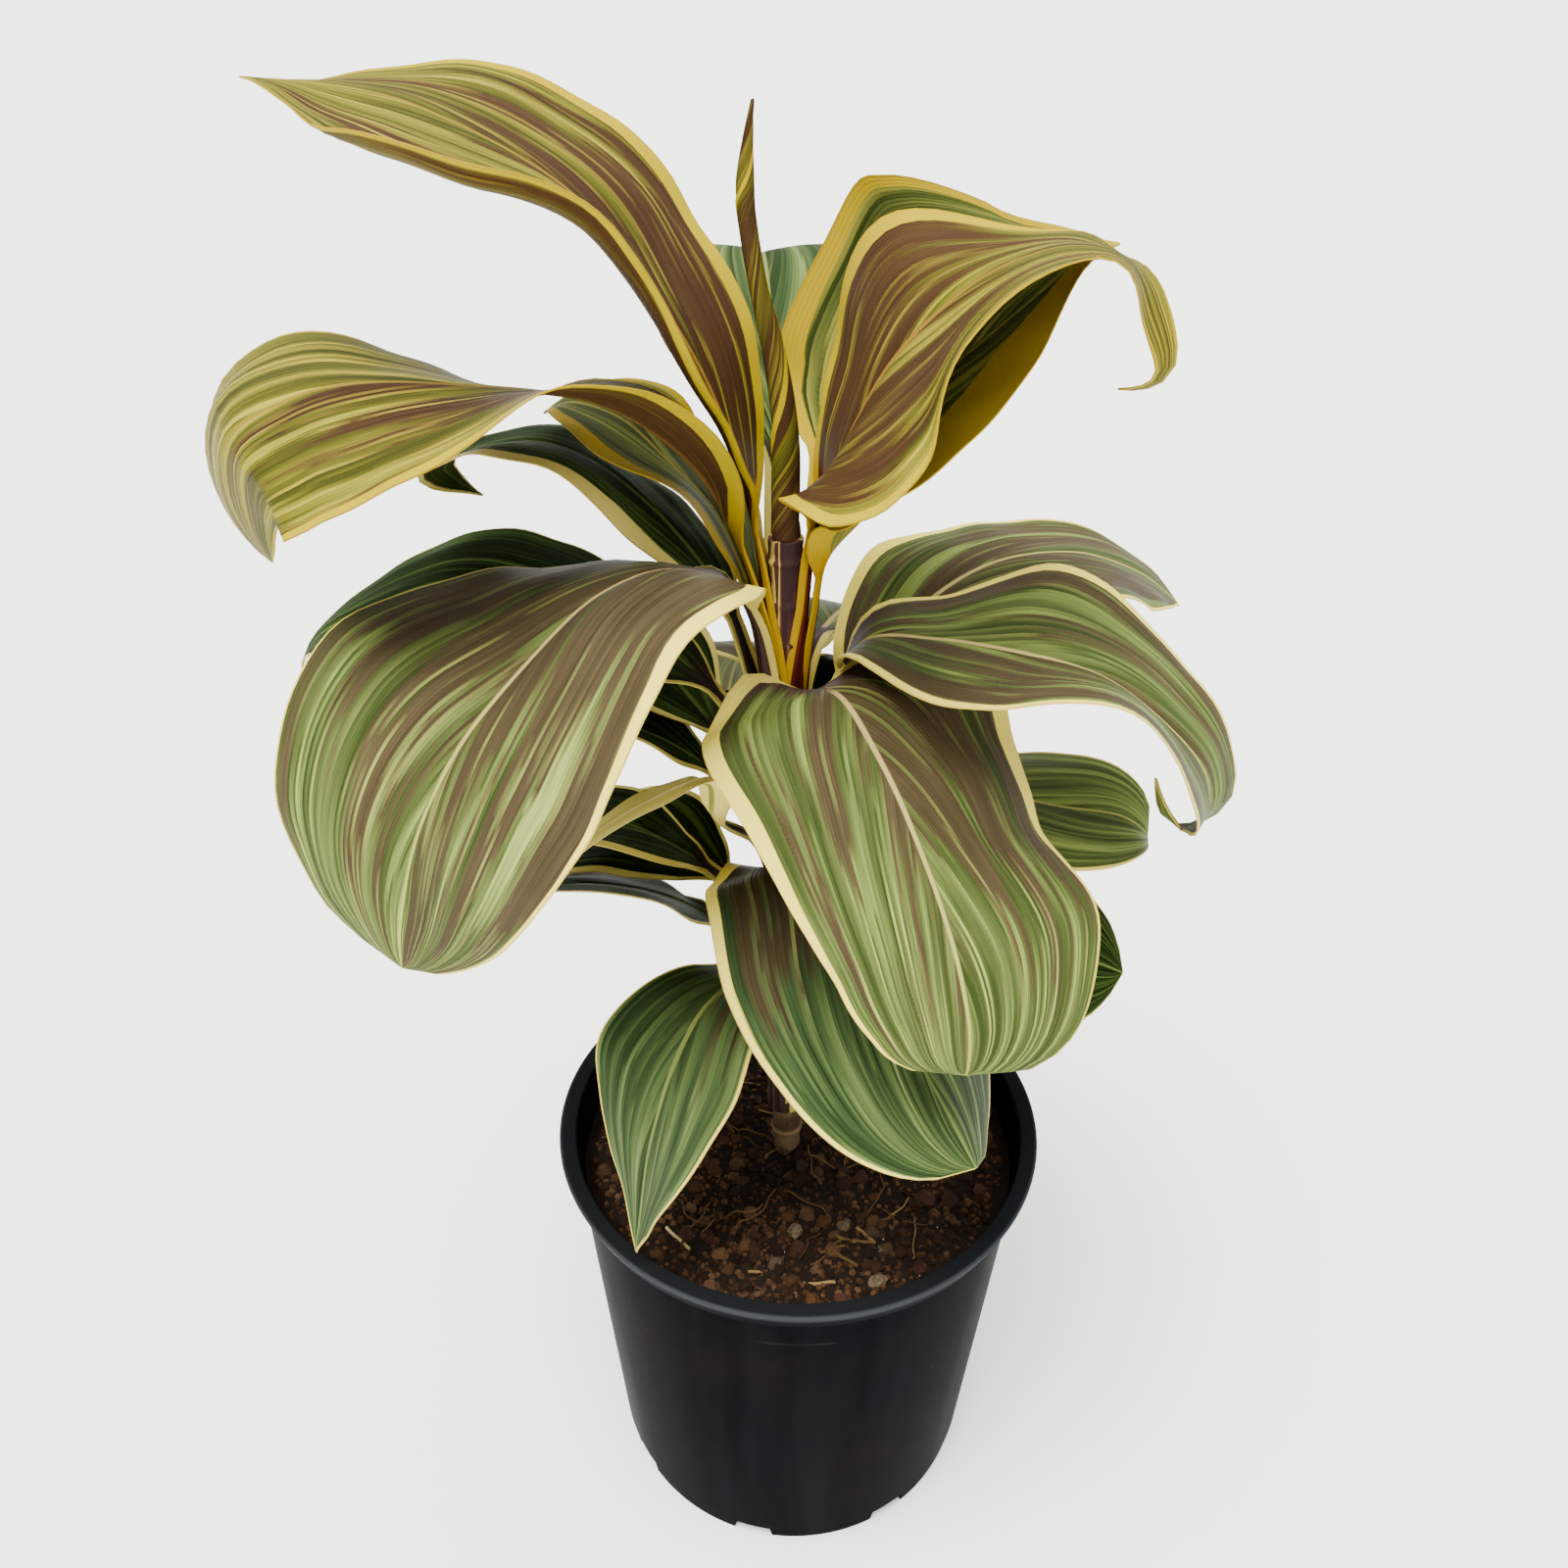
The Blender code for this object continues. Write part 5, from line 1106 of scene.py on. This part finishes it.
leaf_materials = {
    # Young ti leaf, living: brown with yellow-green streaks and a strong yellow margin, satin
    "young": striped_leaf("Young ti leaf, striped", brown=("#2c1a12", "#3d2a19", "#4e3b22"),
                          greens=("#363812", "#565418", "#777021", "#958b2b"), pale="#a2962c",
                          margin=("#9a8000", "#ac9c00", "#8a6a14"), stalk=("#3a100e", "#9e7c00", "#5c2610"),
                          under="#3f2a14", rib=("#93602c", "#857a20"), roughness=0.46, wax=0.05),
    # Opening ti leaf, living: sage green over olive, with a broad yellow margin on both its faces, satin. Its
    # light olive underside is partly its own colour and partly painted light shining through the leaf
    "opening": striped_leaf("Opening ti leaf, green and yellow", brown=("#33291a", "#463a22", "#594c2c"),
                            greens=("#2e3816", "#4b5426", "#6a7034", "#8a8c3e"), pale="#a39c3c",
                            margin=("#a08406", "#b49a10", "#8a6a1c"), stalk=("#3a140e", "#9e7c00", "#5c2c12"),
                            under="#6a642a", rib=("#a08438", "#9a9440"), roughness=0.46, wax=0.05),
    # Grown ti leaf, living: brown and sage green with cream margins, satin
    "middle": striped_leaf("Grown ti leaf, striped", brown=("#2f2819", "#433926", "#594d35"),
                           greens=("#2e3a18", "#4a552a", "#657538", "#84944a"), pale="#9ca552",
                           margin=("#dcc84e", "#ead85e", "#a88a44"), stalk=("#2e1f1e", "#c0ae52", "#4a3530"),
                           under="#44431a", rib=("#cfae78", "#a0a848"), roughness=0.47, wax=0.05),
    # Mature ti leaf, living: mid green over olive brown, with pale streaks and a cream margin, satin
    "mature": striped_leaf("Mature ti leaf, mid green", brown=("#2a2517", "#3b3321", "#4e4531"),
                           greens=("#212f17", "#354527", "#4d5e33", "#6a7b47"), pale="#909c56",
                           margin=("#dcc850", "#ead862", "#a08640"), stalk=("#2a1c1a", "#b8a850", "#40342a"),
                           under="#3a4019", rib=("#8a8c4a", "#6c8044"), roughness=0.45, wax=0.03),
    # Old ti leaf, living: dark green with few pale streaks and a thin cream margin, a little glossier
    "old": striped_leaf("Old ti leaf, dark green", brown=("#1c1a0e", "#2a2614", "#38321d"),
                        greens=("#111c09", "#1d2a11", "#2d3e19", "#435624"), pale="#71823c",
                        margin=("#dac866", "#e8d678", "#98803c"), stalk=("#241814", "#b0a04c", "#383024"),
                        under="#333c18", rib=("#5f7034", "#62783a"), roughness=0.42, wax=0.004),
}

for number, (name, leaf) in enumerate(leaf_forms.items()):
    kind = "middle" if leaf["rib"][0][1] > 350 else "old"
    grow_leaf(name, leaf, leaf_colours.get(name, plain_colours[kind]), 1.0 + 0.77 * number)


# Spear
# The youngest leaf, still rolled up tight on the tip of the cane. The outer wrap's yellow margin winds up it
# as a seam, and the roll steps in along that seam.

spear_path = [(0, 462.3), (0, 477), (0.2, 493), (2.1, 510), (5.6, 528), (10, 547), (12.8, 564), (13.4, 573),
              (12.6, 584), (11, 595)]
spear_radius = [5.2, 5.3, 5.0, 4.6, 3.9, 3.3, 3.1, 3.1, 1.8, 0.6]
spear_turns = 2.2
seam_step = 0.16
seam_margin = 2.2
stripe_radius = 5.0
stripe_slant = 26.0
rib_far_off = 20.0
seam_edge = 0.4
spear_draw = 3.0
# The spear's shares of brown and pale and how far it is open, its share of underside, and its place along a
# blade, all as its material reads them
spear_tone, spear_under, spear_reach = (0.6, 0.5, 1.0), 0.3, 0.5
spear_rows, spear_sides = 110, 44

spear_points, spear_lanes, spear_edges = [], [], []
rows = np.linspace(0, 1, spear_rows)
knots = np.linspace(0, 1, len(spear_path))
crown = cane_at(cane_head_height)
for (out, height), size, t in zip(smooth(knots, spear_path, rows), smooth(knots, spear_radius, rows), rows):
    seam = 2 * pi * spear_turns * t
    loop = []
    for k in range(spear_sides):
        wound = k / (spear_sides - 1)
        turn = 2 * pi * k / spear_sides + seam
        wrapped = size * (1 - seam_step * wound**0.7)
        from_seam = 2 * pi * stripe_radius * wound
        loop.append((crown[0] - out + wrapped * cos(turn), crown[1] + wrapped * sin(turn), height))
        spear_lanes.append((from_seam - stripe_slant * t, height, spear_draw))
        spear_edges.append((from_seam - seam_margin, rib_far_off, from_seam + seam_edge))
    spear_points.append(loop)
spear = place("rolled_spear", *skin(spear_points), smooth_angle=50.0)
paint(spear, "lane", "FLOAT_VECTOR", np.array(spear_lanes))
paint(spear, "edges", "FLOAT_VECTOR", np.array(spear_edges))
paint(spear, "tone", "FLOAT_VECTOR", np.tile(spear_tone, (len(spear_lanes), 1)))
paint(spear, "under", "FLOAT", np.full(len(spear_lanes), spear_under))
paint(spear, "reach", "FLOAT", np.full(len(spear_lanes), spear_reach))
finish_leaf(spear, "spear", "young")


# Floor, light and camera
# A plain pale floor, wide soft lights from far off, and a camera that looks down on the plant from its front.
# The floor is a flat disc far wider than the view, so that no edge of it shows.

bpy.ops.mesh.primitive_circle_add(vertices=96, radius=40.0, fill_type="NGON", location=(0, 0, 0))
floor = bpy.context.object
floor.name = "floor"
floor_paint, tree, shader = blank_material("Matt floor paint, off white")
wire(tree, shader, {"Base Color": "#fafaf9", "Roughness": 0.9})
floor.data.materials.append(floor_paint)

for name, toward, spread, power, colour in (
        ("key light", (0.25, 0.3, -1.0), 36.0, 7.6, "#fffdf8"),
        ("overhead light", (-0.1, -0.15, -1.0), 80.0, 3.0, "#ffffff"),
        ("front light", (-0.5, 1.0, -0.42), 60.0, 1.3, "#fbfcff")):
    lamp = bpy.data.lights.new(name, "SUN")
    lamp.angle = radians(spread)
    lamp.energy = power
    lamp.color = linear(colour)[:3]
    holder = bpy.data.objects.new(name, lamp)
    holder.location = Vector(toward) * -2.0
    holder.rotation_euler = Vector(toward).to_track_quat("-Z", "Y").to_euler()
    bpy.context.scene.collection.objects.link(holder)

world = bpy.data.worlds.new("even studio")
bpy.context.scene.world = world
world.use_nodes = True
wire(world.node_tree, world.node_tree.nodes["Background"], {"Color": "#fbfcfd", "Strength": 0.95})

pitch, roll = radians(32.5), radians(0.8)
forward = Vector((0, cos(pitch), -sin(pitch)))
level, upright = Vector((1, 0, 0)), Vector((0, sin(pitch), cos(pitch)))
to_right = cos(roll) * level + sin(roll) * upright
to_top = cos(roll) * upright - sin(roll) * level
lens = bpy.data.cameras.new("camera")
lens.sensor_width = 36.0
lens.lens = 31.5
camera = bpy.data.objects.new("camera", lens)
camera.matrix_world = (Matrix.Translation((-0.0084, -0.4347, 0.64045))
                       @ Matrix((to_right, to_top, -forward)).transposed().to_4x4())
bpy.context.scene.collection.objects.link(camera)
bpy.context.scene.camera = camera
